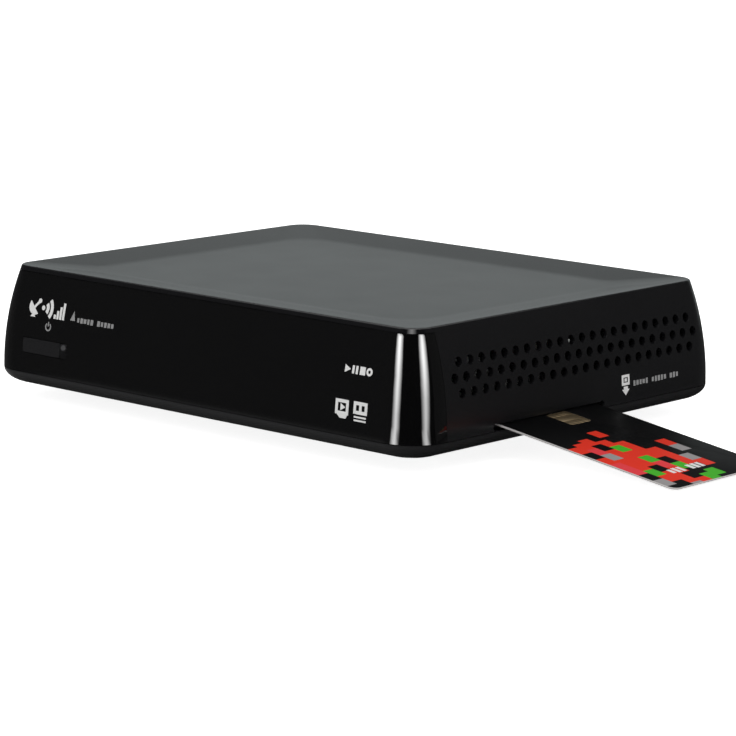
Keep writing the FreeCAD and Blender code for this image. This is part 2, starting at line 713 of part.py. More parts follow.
def jack_pin():
    """Centre pin of the power inlet."""
    pin = rearward(1.0, JACK_X, JACK_Z, (SOCKET_FACE - 9.5, SOCKET_FACE - 0.8))
    tip = [e for e in pin.Edges if e.BoundBox.YMin > SOCKET_FACE - 0.9]
    return pin.makeFillet(0.6, tip)


# Power switch in the rear panel

ROCKER_PIVOT_Y = PANEL_BACK - 1.8
ROCKER_WIDTH = 10.0
ROCKER_HALF = 7.4
ROCKER_PIN = 1.2
SWITCH_CAVITY = (10.6, 16.9)
SWITCH_BODY = (12.6, 18.8)


def switch_housing():
    """Snap-in housing of the power switch."""
    y_face = PANEL_BACK + 1.7
    flange = rounded_box(around(ROCKER_X, 15), (PANEL_BACK, y_face), around(ROCKER_Z, 21), 1.2, Y_AXIS)
    body_y = (PANEL_Y - 13, PANEL_BACK + 1)
    cavity_y = (ROCKER_PIVOT_Y - 5, FAR)
    body = box(around(ROCKER_X, SWITCH_BODY[0]), body_y, around(ROCKER_Z, SWITCH_BODY[1]))
    cavity = box(around(ROCKER_X, SWITCH_CAVITY[0]), cavity_y, around(ROCKER_Z, SWITCH_CAVITY[1]))
    pivot = rod(ROCKER_PIN + 0.05, (ROCKER_X - 6.15, ROCKER_PIVOT_Y, ROCKER_Z), X_AXIS, 12.3)
    return united(flange, [body]).cut(Part.makeCompound([cavity, pivot]))


def switch_rocker():
    """Rocker with its two pivot pins, tilted to the on side."""
    left = ROCKER_X - ROCKER_WIDTH / 2
    outline = ((5.0, ROCKER_HALF), (3.4, 0.0), (5.0, -ROCKER_HALF), (1.5, -ROCKER_HALF),
               (-1.8, -2.0), (-1.8, 2.0), (1.5, ROCKER_HALF))
    points = [(left, ROCKER_PIVOT_Y + y, ROCKER_Z + z) for y, z in outline]
    rocker = prism(points, Vector(ROCKER_WIDTH, 0, 0))
    pins = rod(ROCKER_PIN, (ROCKER_X - 6.0, ROCKER_PIVOT_Y, ROCKER_Z), X_AXIS, 12.0)
    rocker = united(rocker, [pins])
    rocker.rotate(Vector(ROCKER_X, ROCKER_PIVOT_Y, ROCKER_Z), X_AXIS, -ROCKER_TILT)
    return rocker


def switch_terminals():
    """Two blade terminals behind the power switch."""
    blades = [box((ROCKER_X - 3, ROCKER_X + 3), (PANEL_Y - 19, PANEL_Y - 13), (z - 0.4, z + 0.4))
              for z in (ROCKER_Z - 4, ROCKER_Z + 4)]
    return Part.makeCompound(blades)


def rear_panel():
    """Sheet-steel panel with a cut-out for each socket."""
    panel = block(0, REAR_OPENING - 2 * GAP, (PANEL_Y, PANEL_BACK), (FLOOR_Z + GAP, PANEL_TOP))
    y = (PANEL_Y - 1, PANEL_BACK + 1)
    play = 0.25
    cuts = [rearward(LNB_RADIUS + play, x, LNB_Z, y) for x in (LNB_OUT_X, LNB_IN_X)]
    cuts.append(rearward(RCA_RADIUS + play, RCA_X, RCA_Z, y))
    cuts.append(rearward(4.3 + play, JACK_X, JACK_Z, y))
    cuts.append(box(around(HDMI_X, 15.6), y, around(HDMI_Z, 6.2)))
    cuts.append(box(around(USB_X, 13.7), y, around(USB_Z, 6.4)))
    cuts.append(box(around(SCART_X, 47.6), y, (BOARD_TOP - play, BOARD_TOP + 17 + play)))
    cuts.append(box(around(ROCKER_X, SWITCH_BODY[0] + play), y, around(ROCKER_Z, SWITCH_BODY[1] + play)))
    cuts += [rearward(1.6, x, 43, y) for x in (4.5 - REAR_OPENING / 2, REAR_OPENING / 2 - 4.5)]
    for i in range(12):
        cuts.append(rounded_box(around(-45 + 9 * i, 2.6), y, (36.5, 44.5), 1.29, Y_AXIS))
    return panel.cut(Part.makeCompound(cuts))


def panel_screws():
    """Two screws that hold the rear panel to the cover."""
    forward = Vector(0, -1, 0)
    places = [(4.5 - REAR_OPENING / 2, PANEL_BACK, 43), (REAR_OPENING / 2 - 4.5, PANEL_BACK, 43)]
    return Part.makeCompound([screw(1.25, 6.0, 2.4, 1.4, place, forward) for place in places])


# Front board, light, remote-control receiver and the standby key

def front_board():
    """Small upright board behind the front."""
    board = box(FRONT_BOARD_X, FRONT_BOARD_Y, FRONT_BOARD_Z)
    return board.cut(Part.makeCompound([rearward(1.2, x, z, (-90, -70)) for x, z in front_board_posts()]))


def front_board_screws():
    """Two screws that hold the front board."""
    forward = Vector(0, -1, 0)
    return Part.makeCompound([screw(1.0, 5.0, 2.0, 1.2, (x, FRONT_BOARD_Y[1], z), forward)
                              for x, z in front_board_posts()])


KEY_Z = (KEY_WINDOW_Z[0] + KEY_WINDOW_Z[1]) / 2
SWITCH_FACE = FRONT_BOARD_Y[0] - 3.4
PLUNGER_FACE = SWITCH_FACE - 1.1
PLUNGER_RADIUS = 1.7


def tact_switch():
    """Body of the short-travel switch on the front board."""
    body = box(around(SWITCH_X, 6), (SWITCH_FACE, FRONT_BOARD_Y[0]), around(KEY_Z, 6))
    return body.cut(rearward(PLUNGER_RADIUS + 0.08, SWITCH_X, KEY_Z, (SWITCH_FACE - 1, SWITCH_FACE + 1.2)))


def tact_plunger():
    """Moving plunger of the short-travel switch."""
    return rearward(PLUNGER_RADIUS, SWITCH_X, KEY_Z, (PLUNGER_FACE, SWITCH_FACE + 0.6))


def window_shell(x):
    """The part of the front's wall that lies inside the key window, between two X limits."""
    z = (KEY_WINDOW_Z[0] + KEY_PLAY, KEY_WINDOW_Z[1] - KEY_PLAY)
    plug = rounded_box(x, (-FAR, -CORNER_Y - 5), z, 0.7, Y_AXIS)
    wall = case_form(0, WIDEST_Z, BEZEL_TOP).cut(case_form(WALL, WIDEST_Z - 1, RIM_Z))
    return wall.common(plug)


def standby_button():
    """Standby key: a cap flush with the front, a flange behind the wall and a stem to the switch."""
    x = (KEY_WINDOW_X[0] + KEY_PLAY, KEY_WINDOW_X[1] - LED_WINDOW - 2 * KEY_PLAY)
    z = (KEY_WINDOW_Z[0] + KEY_PLAY, KEY_WINDOW_Z[1] - KEY_PLAY)
    flange_y = -CORNER_Y - wall_reach(KEY_WINDOW_Z[1] + 1, WALL) + 0.3
    core = rounded_box(x, (flange_y - 1.4, flange_y + 0.5), z, 0.7, Y_AXIS)
    flange = box((x[0] - 1.2, x[1] - 0.2), (flange_y, flange_y + 1.0), (z[0] - 1.0, z[1] + 1.0))
    stem = rearward(1.5, SWITCH_X, KEY_Z, (flange_y, PLUNGER_FACE - KEY_GAP))
    return united(window_shell(x), [core, flange, stem])


def led_window():
    """Clear window beside the key that carries the status light to the front."""
    x = (KEY_WINDOW_X[1] - KEY_PLAY - LED_WINDOW, KEY_WINDOW_X[1] - KEY_PLAY)
    z = (KEY_WINDOW_Z[0] + KEY_PLAY, KEY_WINDOW_Z[1] - KEY_PLAY)
    pipe = box((x[0] + 0.3, x[1] - 0.3), (-CORNER_Y - 13.5, -CORNER_Y - 11.6), (z[0] + 0.3, z[1] - 0.3))
    return united(window_shell(x), [pipe])


def status_led():
    """Light-emitting diode on the front board behind its window."""
    back = FRONT_BOARD_Y[0]
    body = rearward(1.5, LED_X, KEY_Z, (back - 5.0, back))
    tip = [e for e in body.Edges if e.BoundBox.YMax < back - 4.9]
    return united(body.makeFillet(1.3, tip), [rearward(1.9, LED_X, KEY_Z, (back - 1.6, back))])


def ir_receiver():
    """Remote-control receiver with its lens, on the front board."""
    back = FRONT_BOARD_Y[0]
    body = box((-60.5, -54.5), (back - 3.2, back), around(KEY_Z, 8))
    lens = Part.makeSphere(2.4, Vector(-57.5, back - 3.0, KEY_Z))
    return united(body, [lens.common(box((-70, -50), (-FAR, back - 1), (0, 40)))])


RIBBON_X = -62.0
RIBBON_WIDTH = 12.0
RIBBON_THICK = 0.6


def ribbon(points, across):
    """A flat cable of constant upright thickness through a line of points."""
    lift = Vector(0, 0, RIBBON_THICK)
    low = [Vector(*p) for p in points]
    high = [p + lift for p in reversed(low)]
    return Part.Face(Part.makePolygon(low + high + low[:1])).extrude(across)


def front_ribbon():
    """Flat cable from the front board to the main board."""
    x = RIBBON_X - RIBBON_WIDTH / 2
    route = ((-71.4, 18), (-67, 18.6), (-62, 21), (-58, 21), (-54.5, 18.4), (-53.6, 18))
    return ribbon([(x, y, z) for y, z in route], Vector(RIBBON_WIDTH, 0, 0))


def ribbon_sockets():
    """Board connectors of both flat cables."""
    back = FRONT_BOARD_Y[1]
    front = block(RIBBON_X, RIBBON_WIDTH + 3, (back, back + 5), (16, 20.4))
    main = block(RIBBON_X, RIBBON_WIDTH + 3, (-53.6, -49), (BOARD_TOP, BOARD_TOP + 5.6))
    reader = box((20.0, 25.0), (CARD_Y - 8, CARD_Y + 8), (BOARD_TOP, BOARD_TOP + 5.6))
    return Part.makeCompound([front, main, reader])


def reader_ribbon():
    """Flat cable from the card reader's board to the main board."""
    y = CARD_Y - RIBBON_WIDTH / 2
    route = ((25.0, 18.0), (28.0, 18.6), (31.0, 20.6), (33.6, 21.2))
    return ribbon([(x, y, z) for x, z in route], Vector(0, RIBBON_WIDTH, 0))


# Card reader and card

CARD_LOW = -CARD_THICK / 2 - READER_PLAY
CARD_HIGH = CARD_THICK / 2 + READER_PLAY
RAIL_INNER = CARD_WIDTH / 2 + READER_PLAY
RAIL_OUTER = RAIL_INNER + READER_RAIL
FRAME_LOW = CARD_LOW - READER_FLOOR


def reader_frame():
    """Moulded channel that the card slides into, closed at its inner end."""
    s = (READER_END, READER_START)
    frame = box(s, (-RAIL_OUTER, RAIL_OUTER), (FRAME_LOW, CARD_HIGH))
    channel = box((READER_END + 2, FAR), (-RAIL_INNER, RAIL_INNER), (CARD_LOW, FAR))
    window = box((READER_END + 12, READER_START - 22), (-18, 18), (-FAR, FAR))
    return on_card_path(frame.cut(Part.makeCompound([channel, window])))


def reader_cover():
    """Steel plate over the reader's channel, with a window at the contacts."""
    s = (READER_END, READER_START - 2)
    plate = box(s, (-RAIL_OUTER, RAIL_OUTER), (CARD_HIGH, CARD_HIGH + READER_COVER))
    chip_s = READER_END + 3 + CHIP_FROM_END
    window = box(around(chip_s, 18), around(CHIP_OFF_CENTRE, 14), (-FAR, FAR))
    finger = Part.makeCylinder(9, 20, Vector(READER_START - 2, 0, -5), Z_AXIS)
    return on_card_path(plate.cut(Part.makeCompound([window, finger])))


def contact_block():
    """Moulded carrier of the reader's contact springs, standing in the cover's window."""
    chip_s = READER_END + 3 + CHIP_FROM_END
    carrier = box(around(chip_s, 17.6), around(CHIP_OFF_CENTRE, 13.6), (CARD_HIGH + 0.5, CARD_HIGH + 3.0))
    cuts = []
    for row in range(4):
        y = CHIP_OFF_CENTRE + (row - 1.5) * 2.54
        cuts.append(box(around(chip_s, 14), around(y, 1.6), (-FAR, FAR)))
    return on_card_path(carrier.cut(Part.makeCompound(cuts)))


def contact_springs():
    """Eight leaf springs that meet the card's chip when it is fully in."""
    chip_s = READER_END + 3 + CHIP_FROM_END
    springs = []
    for side in (-1, 1):
        for row in range(4):
            y = around(CHIP_OFF_CENTRE + (row - 1.5) * 2.54, 1.2)
            root = chip_s + side * 7.0
            tip = chip_s + side * 1.6
            s = (min(root, tip), max(root, tip))
            springs.append(on_card_path(box(s, y, (CARD_HIGH + 0.1, CARD_HIGH + 0.4))))
    return Part.makeCompound(springs)


def reader_board():
    """Sloping circuit board under the reader."""
    z = (FRAME_LOW - READER_BOARD, FRAME_LOW)
    board = box((READER_END - 4, READER_START - 2), (-READER_BOARD_HALF, READER_BOARD_HALF), z)
    holes = [rod(1.2, (s, side * READER_SCREW_Y, -10), Z_AXIS, 20)
             for side in (-1, 1) for s in READER_SCREW_S]
    return on_card_path(board.cut(Part.makeCompound(holes)))


def reader_screws():
    """Screws through the reader's board into the tray."""
    down = Vector(0, 0, -1)
    screws = [on_card_path(screw(1.0, 3.4, 1.9, 1.2, (s, side * READER_SCREW_Y, FRAME_LOW), down))
              for side in (-1, 1) for s in READER_SCREW_S]
    return Part.makeCompound(screws)


def chip_place(z):
    """The outline of the card's contact plate, over a thickness."""
    s = around(CHIP_FROM_END - CARD_INSIDE, CHIP_LENGTH)
    return rounded_box(s, around(CHIP_OFF_CENTRE, CHIP_WIDTH), z, 1.5, Z_AXIS)


def smart_card():
    """Plastic card, part way out of the slot, with a pocket for its contact plate."""
    half = CARD_THICK / 2
    s = (-CARD_INSIDE, CARD_LENGTH - CARD_INSIDE)
    card = rounded_box(s, around(0, CARD_WIDTH), (-half, half), CARD_CORNER, Z_AXIS)
    return on_card_path(card.cut(chip_place((half - CHIP_THICK, half + 1))))


def chip_contacts():
    """Gold-plated contact plate of the card, cut into eight fields."""
    half = CARD_THICK / 2
    plate = chip_place((half - CHIP_THICK, half))
    chip_s = CHIP_FROM_END - CARD_INSIDE
    depth = (half - 0.08, FAR)
    grooves = []
    for side in (-1, 1):
        grooves.append(box(around(chip_s + side * 2.4, 0.25), around(CHIP_OFF_CENTRE, 20), depth))
        s = around(chip_s + side * 12.4, 20)
        grooves += [box(s, around(CHIP_OFF_CENTRE + row * 2.54, 0.25), depth) for row in (-1, 0, 1)]
    return on_card_path(plate.cut(Part.makeCompound(grooves)))


PARTS = {
    "base_tray": base_tray,
    "rubber_feet": rubber_feet,
    "top_cover": top_cover,
    "front_bezel": front_bezel,
    "rear_panel": rear_panel,
    "case_screws": case_screws,
    "panel_screws": panel_screws,
    "main_board": main_board,
    "board_screws": board_screws,
    "main_chip": main_chip,
    "heat_sink": heat_sink,
    "memory_chips": memory_chips,
    "flash_chip": flash_chip,
    "clock_crystal": clock_crystal,
    "capacitors": capacitors,
    "power_coils": power_coils,
    "tuner_can": tuner_can,
    "tuner_lid": tuner_lid,
    "lnb_out_connector": lambda: lnb_connector(LNB_OUT_X),
    "lnb_in_connector": lambda: lnb_connector(LNB_IN_X),
    "lnb_insulators": lnb_insulators,
    "lnb_nuts": lnb_nuts,
    "hdmi_shell": hdmi_shell,
    "hdmi_tongue": hdmi_tongue,
    "scart_socket": scart_socket,
    "scart_contacts": scart_contacts,
    "rca_body": rca_body,
    "rca_barrel": rca_barrel,
    "usb_shell": usb_shell,
    "usb_tongue": usb_tongue,
    "jack_body": jack_body,
    "jack_pin": jack_pin,
    "switch_housing": switch_housing,
    "switch_rocker": switch_rocker,
    "switch_terminals": switch_terminals,
    "front_board": front_board,
    "front_board_screws": front_board_screws,
    "tact_switch": tact_switch,
    "tact_plunger": tact_plunger,
    "standby_button": standby_button,
    "led_window": led_window,
    "status_led": status_led,
    "ir_receiver": ir_receiver,
    "ribbon_sockets": ribbon_sockets,
    "front_ribbon": front_ribbon,
    "reader_ribbon": reader_ribbon,
    "reader_frame": reader_frame,
    "reader_cover": reader_cover,
    "contact_block": contact_block,
    "contact_springs": contact_springs,
    "reader_board": reader_board,
    "reader_screws": reader_screws,
    "smart_card": smart_card,
    "chip_contacts": chip_contacts,
}

os.makedirs("parts", exist_ok=True)
for node, make in PARTS.items():
    shape = make()
    if not shape.isValid():
        raise ValueError(node + " is not a valid solid")
    shape.exportStep("parts/" + node + ".step")
    print(node, "solids", len(shape.Solids), "volume", round(shape.Volume, 1))
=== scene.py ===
"""A small satellite television receiver with a smart card in its side slot."""
import json
import math
from math import cos, radians, sin

import bmesh
import bpy
import numpy as np
from mathutils import Matrix, Vector

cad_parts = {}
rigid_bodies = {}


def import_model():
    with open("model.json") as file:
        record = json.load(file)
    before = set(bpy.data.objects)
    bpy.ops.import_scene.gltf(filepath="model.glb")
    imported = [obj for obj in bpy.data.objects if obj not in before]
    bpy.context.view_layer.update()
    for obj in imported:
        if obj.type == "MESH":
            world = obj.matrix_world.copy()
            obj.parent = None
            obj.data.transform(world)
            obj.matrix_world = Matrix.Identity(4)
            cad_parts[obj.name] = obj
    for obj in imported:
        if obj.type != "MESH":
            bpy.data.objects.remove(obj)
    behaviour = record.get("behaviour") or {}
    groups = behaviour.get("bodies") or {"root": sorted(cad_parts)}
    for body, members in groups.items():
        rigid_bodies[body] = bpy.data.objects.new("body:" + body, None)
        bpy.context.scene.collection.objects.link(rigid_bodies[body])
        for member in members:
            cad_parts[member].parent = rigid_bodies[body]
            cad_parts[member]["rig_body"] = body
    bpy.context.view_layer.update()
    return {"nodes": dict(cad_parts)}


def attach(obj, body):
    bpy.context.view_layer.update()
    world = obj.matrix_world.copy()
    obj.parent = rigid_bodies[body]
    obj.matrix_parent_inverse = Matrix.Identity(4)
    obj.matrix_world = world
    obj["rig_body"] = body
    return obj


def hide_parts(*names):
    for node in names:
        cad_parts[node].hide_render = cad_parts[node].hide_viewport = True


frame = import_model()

mm = 0.001


# ---- Base tray
# The lower moulding of black ABS: a floor with standoffs, and a rim that curves in under the case.
# It comes from one steel mould, so its visible faces are smooth and every corner is a little eased.

CORNER_X = 94.8 * mm           # centres of the four plan corners
CORNER_Y = 72.8 * mm
WIDEST_Z = 11.5 * mm
WIDEST_REACH = 15.2 * mm       # from a corner's centre out to the widest line
RIM_Z = 51.0 * mm
RIM_RADIUS = 8.0 * mm
FLARE_RADIUS = 111.95 * mm     # side walls seen from the end: an arc that is upright at the widest line
UNDER_REACH = 13.0 * mm        # the ellipse from the widest line in to the flat underside
UNDER_HEIGHT = 6.5 * mm
RIM_LEDGE = 1.2 * mm           # level edge round the top
DISH_DEPTH = 2.3 * mm          # the top's level middle lies lower, within a sloping margin
DISH_MARGIN = 22.0 * mm
DISH_RADIUS = 14.0 * mm
DISH_EVEN = 0.75               # share of the margin that slopes evenly; the rest rounds off into the middle

ON_FORM = 0.1 * mm             # a face this near to the form takes the form's normals
ON_LINE = 0.005 * mm           # an edge this near to the end of a straight wall lies on it
WALL_SPREAD = 9                # degrees that such a face may turn away from the walls
DISH_SPREAD = 3                # and from the top
SAME_POINT = 0.002 * mm
SAME_FACE = radians(0.4)
SHADES_AS_ONE = radians(32)
EASED_FROM = radians(35)
TINY = 1e-9


def unit(rows):
    """Each row as a direction."""
    return rows / np.maximum(np.linalg.norm(rows, axis=1), TINY)[:, None]


def wall_reach(z):
    """How far the side wall stands out from the corners' centres at a height."""
    return WIDEST_REACH - FLARE_RADIUS + np.sqrt(FLARE_RADIUS ** 2 - (z - WIDEST_Z) ** 2)


def side_normals(place):
    """The outward normals of the side walls and of the curve under them, and each point's distance off."""
    x, y, z = place.T
    out = np.stack([x - np.clip(x, -CORNER_X, CORNER_X), y - np.clip(y, -CORNER_Y, CORNER_Y)], 1)
    reach = np.linalg.norm(out, axis=1)
    out = unit(out)
    rise = np.clip((z - WIDEST_Z) / FLARE_RADIUS, 0, 1)
    wall = np.concatenate([out * np.sqrt(1 - rise ** 2)[:, None], rise[:, None]], 1)
    along = (reach - WIDEST_REACH + UNDER_REACH) / UNDER_REACH
    down = (z - WIDEST_Z) / UNDER_HEIGHT
    under = unit(np.concatenate([out * (along / UNDER_REACH)[:, None], (down / UNDER_HEIGHT)[:, None]], 1))
    low = z < WIDEST_Z
    wall_off = np.abs(reach - wall_reach(np.clip(z, WIDEST_Z, RIM_Z)))
    under_off = np.abs(np.hypot(along, down) - 1) * UNDER_HEIGHT
    return np.where(low[:, None], under, wall), np.where(low, under_off, wall_off)


def dish_normals(place):
    """The same for the top's hollow: a margin that slopes down to a flat middle, round growing corners."""
    x, y, z = place.T
    a, b = np.abs(x) - CORNER_X + RIM_LEDGE, np.abs(y) - CORNER_Y + RIM_LEDGE
    run = DISH_MARGIN - RIM_LEDGE
    grow = DISH_RADIUS - RIM_RADIUS
    pull = run + grow
    square = 2 * pull ** 2 - grow ** 2
    half = pull * (a + b) - RIM_RADIUS * grow
    rest = a * a + b * b - RIM_RADIUS ** 2
    round_share = (np.sqrt(np.maximum(half ** 2 - square * rest, 0)) - half) / square
    corner_x, corner_y = a + pull * round_share, b + pull * round_share
    in_corner = (corner_x > 0) & (corner_y > 0)
    straight_share = (RIM_RADIUS - np.maximum(a, b)) / run
    share = np.clip(np.where(in_corner, round_share, straight_share), 0, 1)
    reach = np.maximum(np.hypot(corner_x, corner_y), TINY)
    way_x = np.where(in_corner, corner_x / reach, a > b)
    way_y = np.where(in_corner, corner_y / reach, a <= b)
    full = DISH_EVEN + (1 - DISH_EVEN) / 2
    roll = full * (1 - DISH_EVEN) * 2
    steep = np.where(share < DISH_EVEN, 1 / full, 2 * (1 - share) / roll)
    fall = np.where(share < DISH_EVEN, share / full, 1 - (1 - share) ** 2 / roll) * DISH_DEPTH
    tilt = DISH_DEPTH * steep / (pull * (way_x + way_y) - grow)
    normal = np.stack([-way_x * np.sign(x) * tilt, -way_y * np.sign(y) * tilt, np.ones(len(x))], 1)
    return unit(normal), np.abs(z - RIM_Z + fall)


def read_all(items, key, width=3):
    """A value of all the points, corners or faces of a mesh: three numbers each, or one whole number."""
    values = np.empty(len(items) * width, np.float32 if width > 1 else np.int32)
    items.foreach_get(key, values)
    return values.reshape(-1, width).astype(float) if width > 1 else values


def follow_form(mesh):
    """Where a corner of a face lies on the case's form, it takes that form's own normal."""
    place = read_all(mesh.vertices, "co")[read_all(mesh.loops, "vertex_index", 1)]
    faces = np.repeat(read_all(mesh.polygons, "normal"), read_all(mesh.polygons, "loop_total", 1), 0)
    normals = read_all(mesh.corner_normals, "vector")
    for (form, off), spread in ((side_normals(place), WALL_SPREAD), (dish_normals(place), DISH_SPREAD)):
        near = (off < ON_FORM) & (np.einsum("ij,ij->i", faces, form) > cos(radians(spread)))
        normals[near] = form[near]
    mesh.normals_split_custom_set(normals.tolist())


def shown(name, data):
    """An object for a mesh, a lamp or a camera, linked to the scene."""
    piece = bpy.data.objects.new(name, data)
    bpy.context.scene.collection.objects.link(piece)
    return piece


def finished(piece):
    """Turns the object's modifiers into its mesh."""
    seen = piece.evaluated_get(bpy.context.evaluated_depsgraph_get())
    made = bpy.data.meshes.new_from_object(seen)
    piece.modifiers.clear()
    piece.data = made
    return piece


def meets_corner(edge):
    """Whether an edge runs up the line where a straight wall meets a round corner."""
    return any(all(abs(abs(vert.co[axis]) - corner) < ON_LINE for vert in edge.verts)
               for axis, corner in enumerate((CORNER_X, CORNER_Y)))


def eased(node, width, finish, kind="moulding", steps=2, on_form=False):
    """A copy of a CAD node with eased edges and smooth round faces, shown in its place."""
    mesh = frame["nodes"][node].data.copy()
    skin = bmesh.new()
    skin.from_mesh(mesh)
    bmesh.ops.remove_doubles(skin, verts=skin.verts, dist=SAME_POINT)
    for edge in skin.edges:
        edge.seam = on_form and meets_corner(edge)
    bmesh.ops.dissolve_limit(skin, angle_limit=SAME_FACE, verts=skin.verts, edges=skin.edges,
                             delimit={"SEAM"})
    skin.to_mesh(mesh)
    skin.free()
    mesh.materials.clear()
    piece = shown(f"{node}_{kind}", mesh)
    ease = piece.modifiers.new("ease", "BEVEL")
    ease.width = width
    ease.segments = steps
    ease.limit_method = "ANGLE"
    ease.angle_limit = EASED_FROM
    finished(piece)
    piece.data.shade_smooth()
    piece.data.set_sharp_from_angle(angle=SHADES_AS_ONE)
    if on_form:
        follow_form(piece.data)
    piece.data.materials.append(finish)
    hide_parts(node)
    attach(piece, frame["nodes"][node]["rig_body"])
    return piece


def wired(tree, node, values):
    """Fills a node's inputs: from a socket, from a node's first output, or with a plain value."""
    for name, value in values.items():
        source = value.outputs[0] if isinstance(value, bpy.types.Node) else value
        if isinstance(source, bpy.types.NodeSocket):
            tree.links.new(source, node.inputs[name])
        else:
            node.inputs[name].default_value = source
    return node


def add(tree, kind, values, **settings):
    """A new node with its settings and its inputs."""
    node = tree.nodes.new(kind)
    for setting, value in settings.items():
        setattr(node, setting, value)
    return wired(tree, node, values)


def maths(tree, operation, *values):
    """A Math node's result."""
    return add(tree, "ShaderNodeMath", dict(enumerate(values)), operation=operation).outputs[0]


def noise(tree, vector, waves, detail):
    """A noise field over a vector, with so many waves per metre."""
    field = add(tree, "ShaderNodeTexNoise", {"Vector": vector, "Scale": waves, "Detail": detail})
    return field.outputs["Fac"]


def surface(tree):
    """Where a point of the surface lies, and which way it looks."""
    return tree.nodes.new("ShaderNodeTexCoord").outputs


def raised(tree, height, depth):
    """The normal of a surface with a fine relief of a depth."""
    return add(tree, "ShaderNodeBump", {"Height": height, "Distance": depth}).outputs["Normal"]


def new_finish(name):
    """A material, with its nodes and its shader."""
    finish = bpy.data.materials.new(name)
    finish.use_nodes = True
    return finish, finish.node_tree, finish.node_tree.nodes["Principled BSDF"]


def new_tree(kind, name, given, made):
    """A node tree with named inputs and outputs, and its two ends."""
    tree = bpy.data.node_groups.new(name, kind)
    for end, sockets in (("INPUT", given), ("OUTPUT", made)):
        for socket, socket_kind in sockets.items():
            tree.interface.new_socket(socket, in_out=end, socket_type=socket_kind)
    return tree, tree.nodes.new("NodeGroupInput").outputs, tree.nodes.new("NodeGroupOutput")


FLOAT, COLOUR, VECTOR = "NodeSocketFloat", "NodeSocketColor", "NodeSocketVector"
SKIN_INPUTS = {"Colour": COLOUR, "Drift": FLOAT, "Rough": FLOAT, "Spread": FLOAT, "Grain": FLOAT,
               "Stretch": VECTOR}
SKIN_OUTPUTS = {"Colour": COLOUR, "Roughness": FLOAT, "Height": FLOAT}
FLOW_WAVES = 45.0


def make_skin():
    """Group: flow marks in colour and gloss, and a fine grain that may be drawn out one way."""
    tree, given, made = new_tree("ShaderNodeTree", "surface_skin", SKIN_INPUTS, SKIN_OUTPUTS)
    where = surface(tree)["Object"]
    drawn = add(tree, "ShaderNodeVectorMath", {0: where, 1: given["Stretch"]}, operation="MULTIPLY")
    flow = maths(tree, "SUBTRACT", noise(tree, drawn, FLOW_WAVES, 4.0), 0.5)
    fine = noise(tree, drawn, given["Grain"], 3.0)
    both = maths(tree, "ADD", flow, maths(tree, "SUBTRACT", fine, 0.5))
    lighter = maths(tree, "MULTIPLY_ADD", both, given["Drift"], 1.0)
    tint = add(tree, "ShaderNodeVectorMath", {0: given["Colour"], "Scale": lighter}, operation="SCALE")
    rougher = maths(tree, "MULTIPLY_ADD", both, given["Spread"], given["Rough"])
    wired(tree, made, {"Colour": tint, "Roughness": rougher, "Height": fine})
    return tree


surface_skin = make_skin()


def skinned(name, colour, rough, drift=0.2, spread=0.06, grain=2000.0, relief=0.01, metal=0.0,
            stretch=(1, 1, 1)):
    """A finish whose colour, gloss and grain come from the surface skin; relief is in millimetres."""
    finish, tree, shader = new_finish(name)
    values = {"Colour": (*colour, 1), "Drift": drift, "Rough": rough, "Spread": spread, "Grain": grain,
              "Stretch": stretch}
    skin = add(tree, "ShaderNodeGroup", values, node_tree=surface_skin).outputs
    wired(tree, shader, {"Base Color": skin["Colour"], "Roughness": skin["Roughness"], "Metallic": metal})
    if relief:
        wired(tree, shader, {"Normal": raised(tree, skin["Height"], relief * mm)})
    return finish


tray_plastic = skinned("satin_black_tray", (0.009, 0.009, 0.010), 0.30, relief=0.002)
eased("base_tray", 0.25 * mm, tray_plastic, on_form=True)


# ---- Rubber feet
# Four dark grey discs of soft rubber, glued into shallow recesses of the tray.
# They are cut from moulded bar, so they are matt, with a fine pitted skin.

rubber = skinned("foot_rubber", (0.030, 0.030, 0.031), 0.78, drift=0.5, spread=0.1, grain=1400, relief=0.05)
eased("rubber_feet", 0.3 * mm, rubber, "rubber")


# ---- Case screws
# Six zinc-plated steel screws that come up through the tray into the cover and the front.

zinc = skinned("zinc_plated_steel", (0.62, 0.62, 0.60), 0.32, drift=0.3, spread=0.2, grain=900,
               relief=0.003, metal=1.0)
eased("case_screws", 0.12 * mm, zinc, "steel")


# ---- Main board and what is soldered to it
# An L-shaped glass-fibre board under green solder mask, on the tray's standoffs.
# The mask lies over copper tracks, which show as lighter lines, and the cut edges are bare.

TRACK_PITCH = 1.27 * mm
TRACK_SHARE = 0.36             # of the pitch
TRACK_RELIEF = 0.03 * mm
TURN_WAVES = 70.0              # patches where the tracks run the other way
COPPER_WAVES = 110.0           # and where whole areas are copper
COPPER_FROM = 0.58
SQUARE_ON = 0.7                # a face's normal along an axis, from which it looks that way
MASK_GREEN, TRACK_GREEN = (0.006, 0.055, 0.022), (0.020, 0.130, 0.050)
GLASS_FIBRE = (0.36, 0.31, 0.16)


def dressed(finish, *nodes):
    """Gives CAD nodes whose shape is right their finish."""
    for node in nodes:
        for slot in frame["nodes"][node].material_slots:
            slot.material = finish


def split(tree, vector):
    """A vector's three parts."""
    return add(tree, "ShaderNodeSeparateXYZ", {0: vector}).outputs


def blend(tree, share, first, second):
    """The first colour where the share is nought, and the second where it is one."""
    mix = add(tree, "ShaderNodeMix", {}, data_type="RGBA")
    colours = [(*colour, 1) if isinstance(colour, tuple) else colour for colour in (first, second)]
    return wired(tree, mix, {"Factor": share, "A": colours[0], "B": colours[1]}).outputs["Result"]


def stripes(tree, place, pitch, share):
    """Lines at a pitch, each as wide as its share of it."""
    return maths(tree, "LESS_THAN", maths(tree, "FRACT", maths(tree, "DIVIDE", place, pitch)), share)


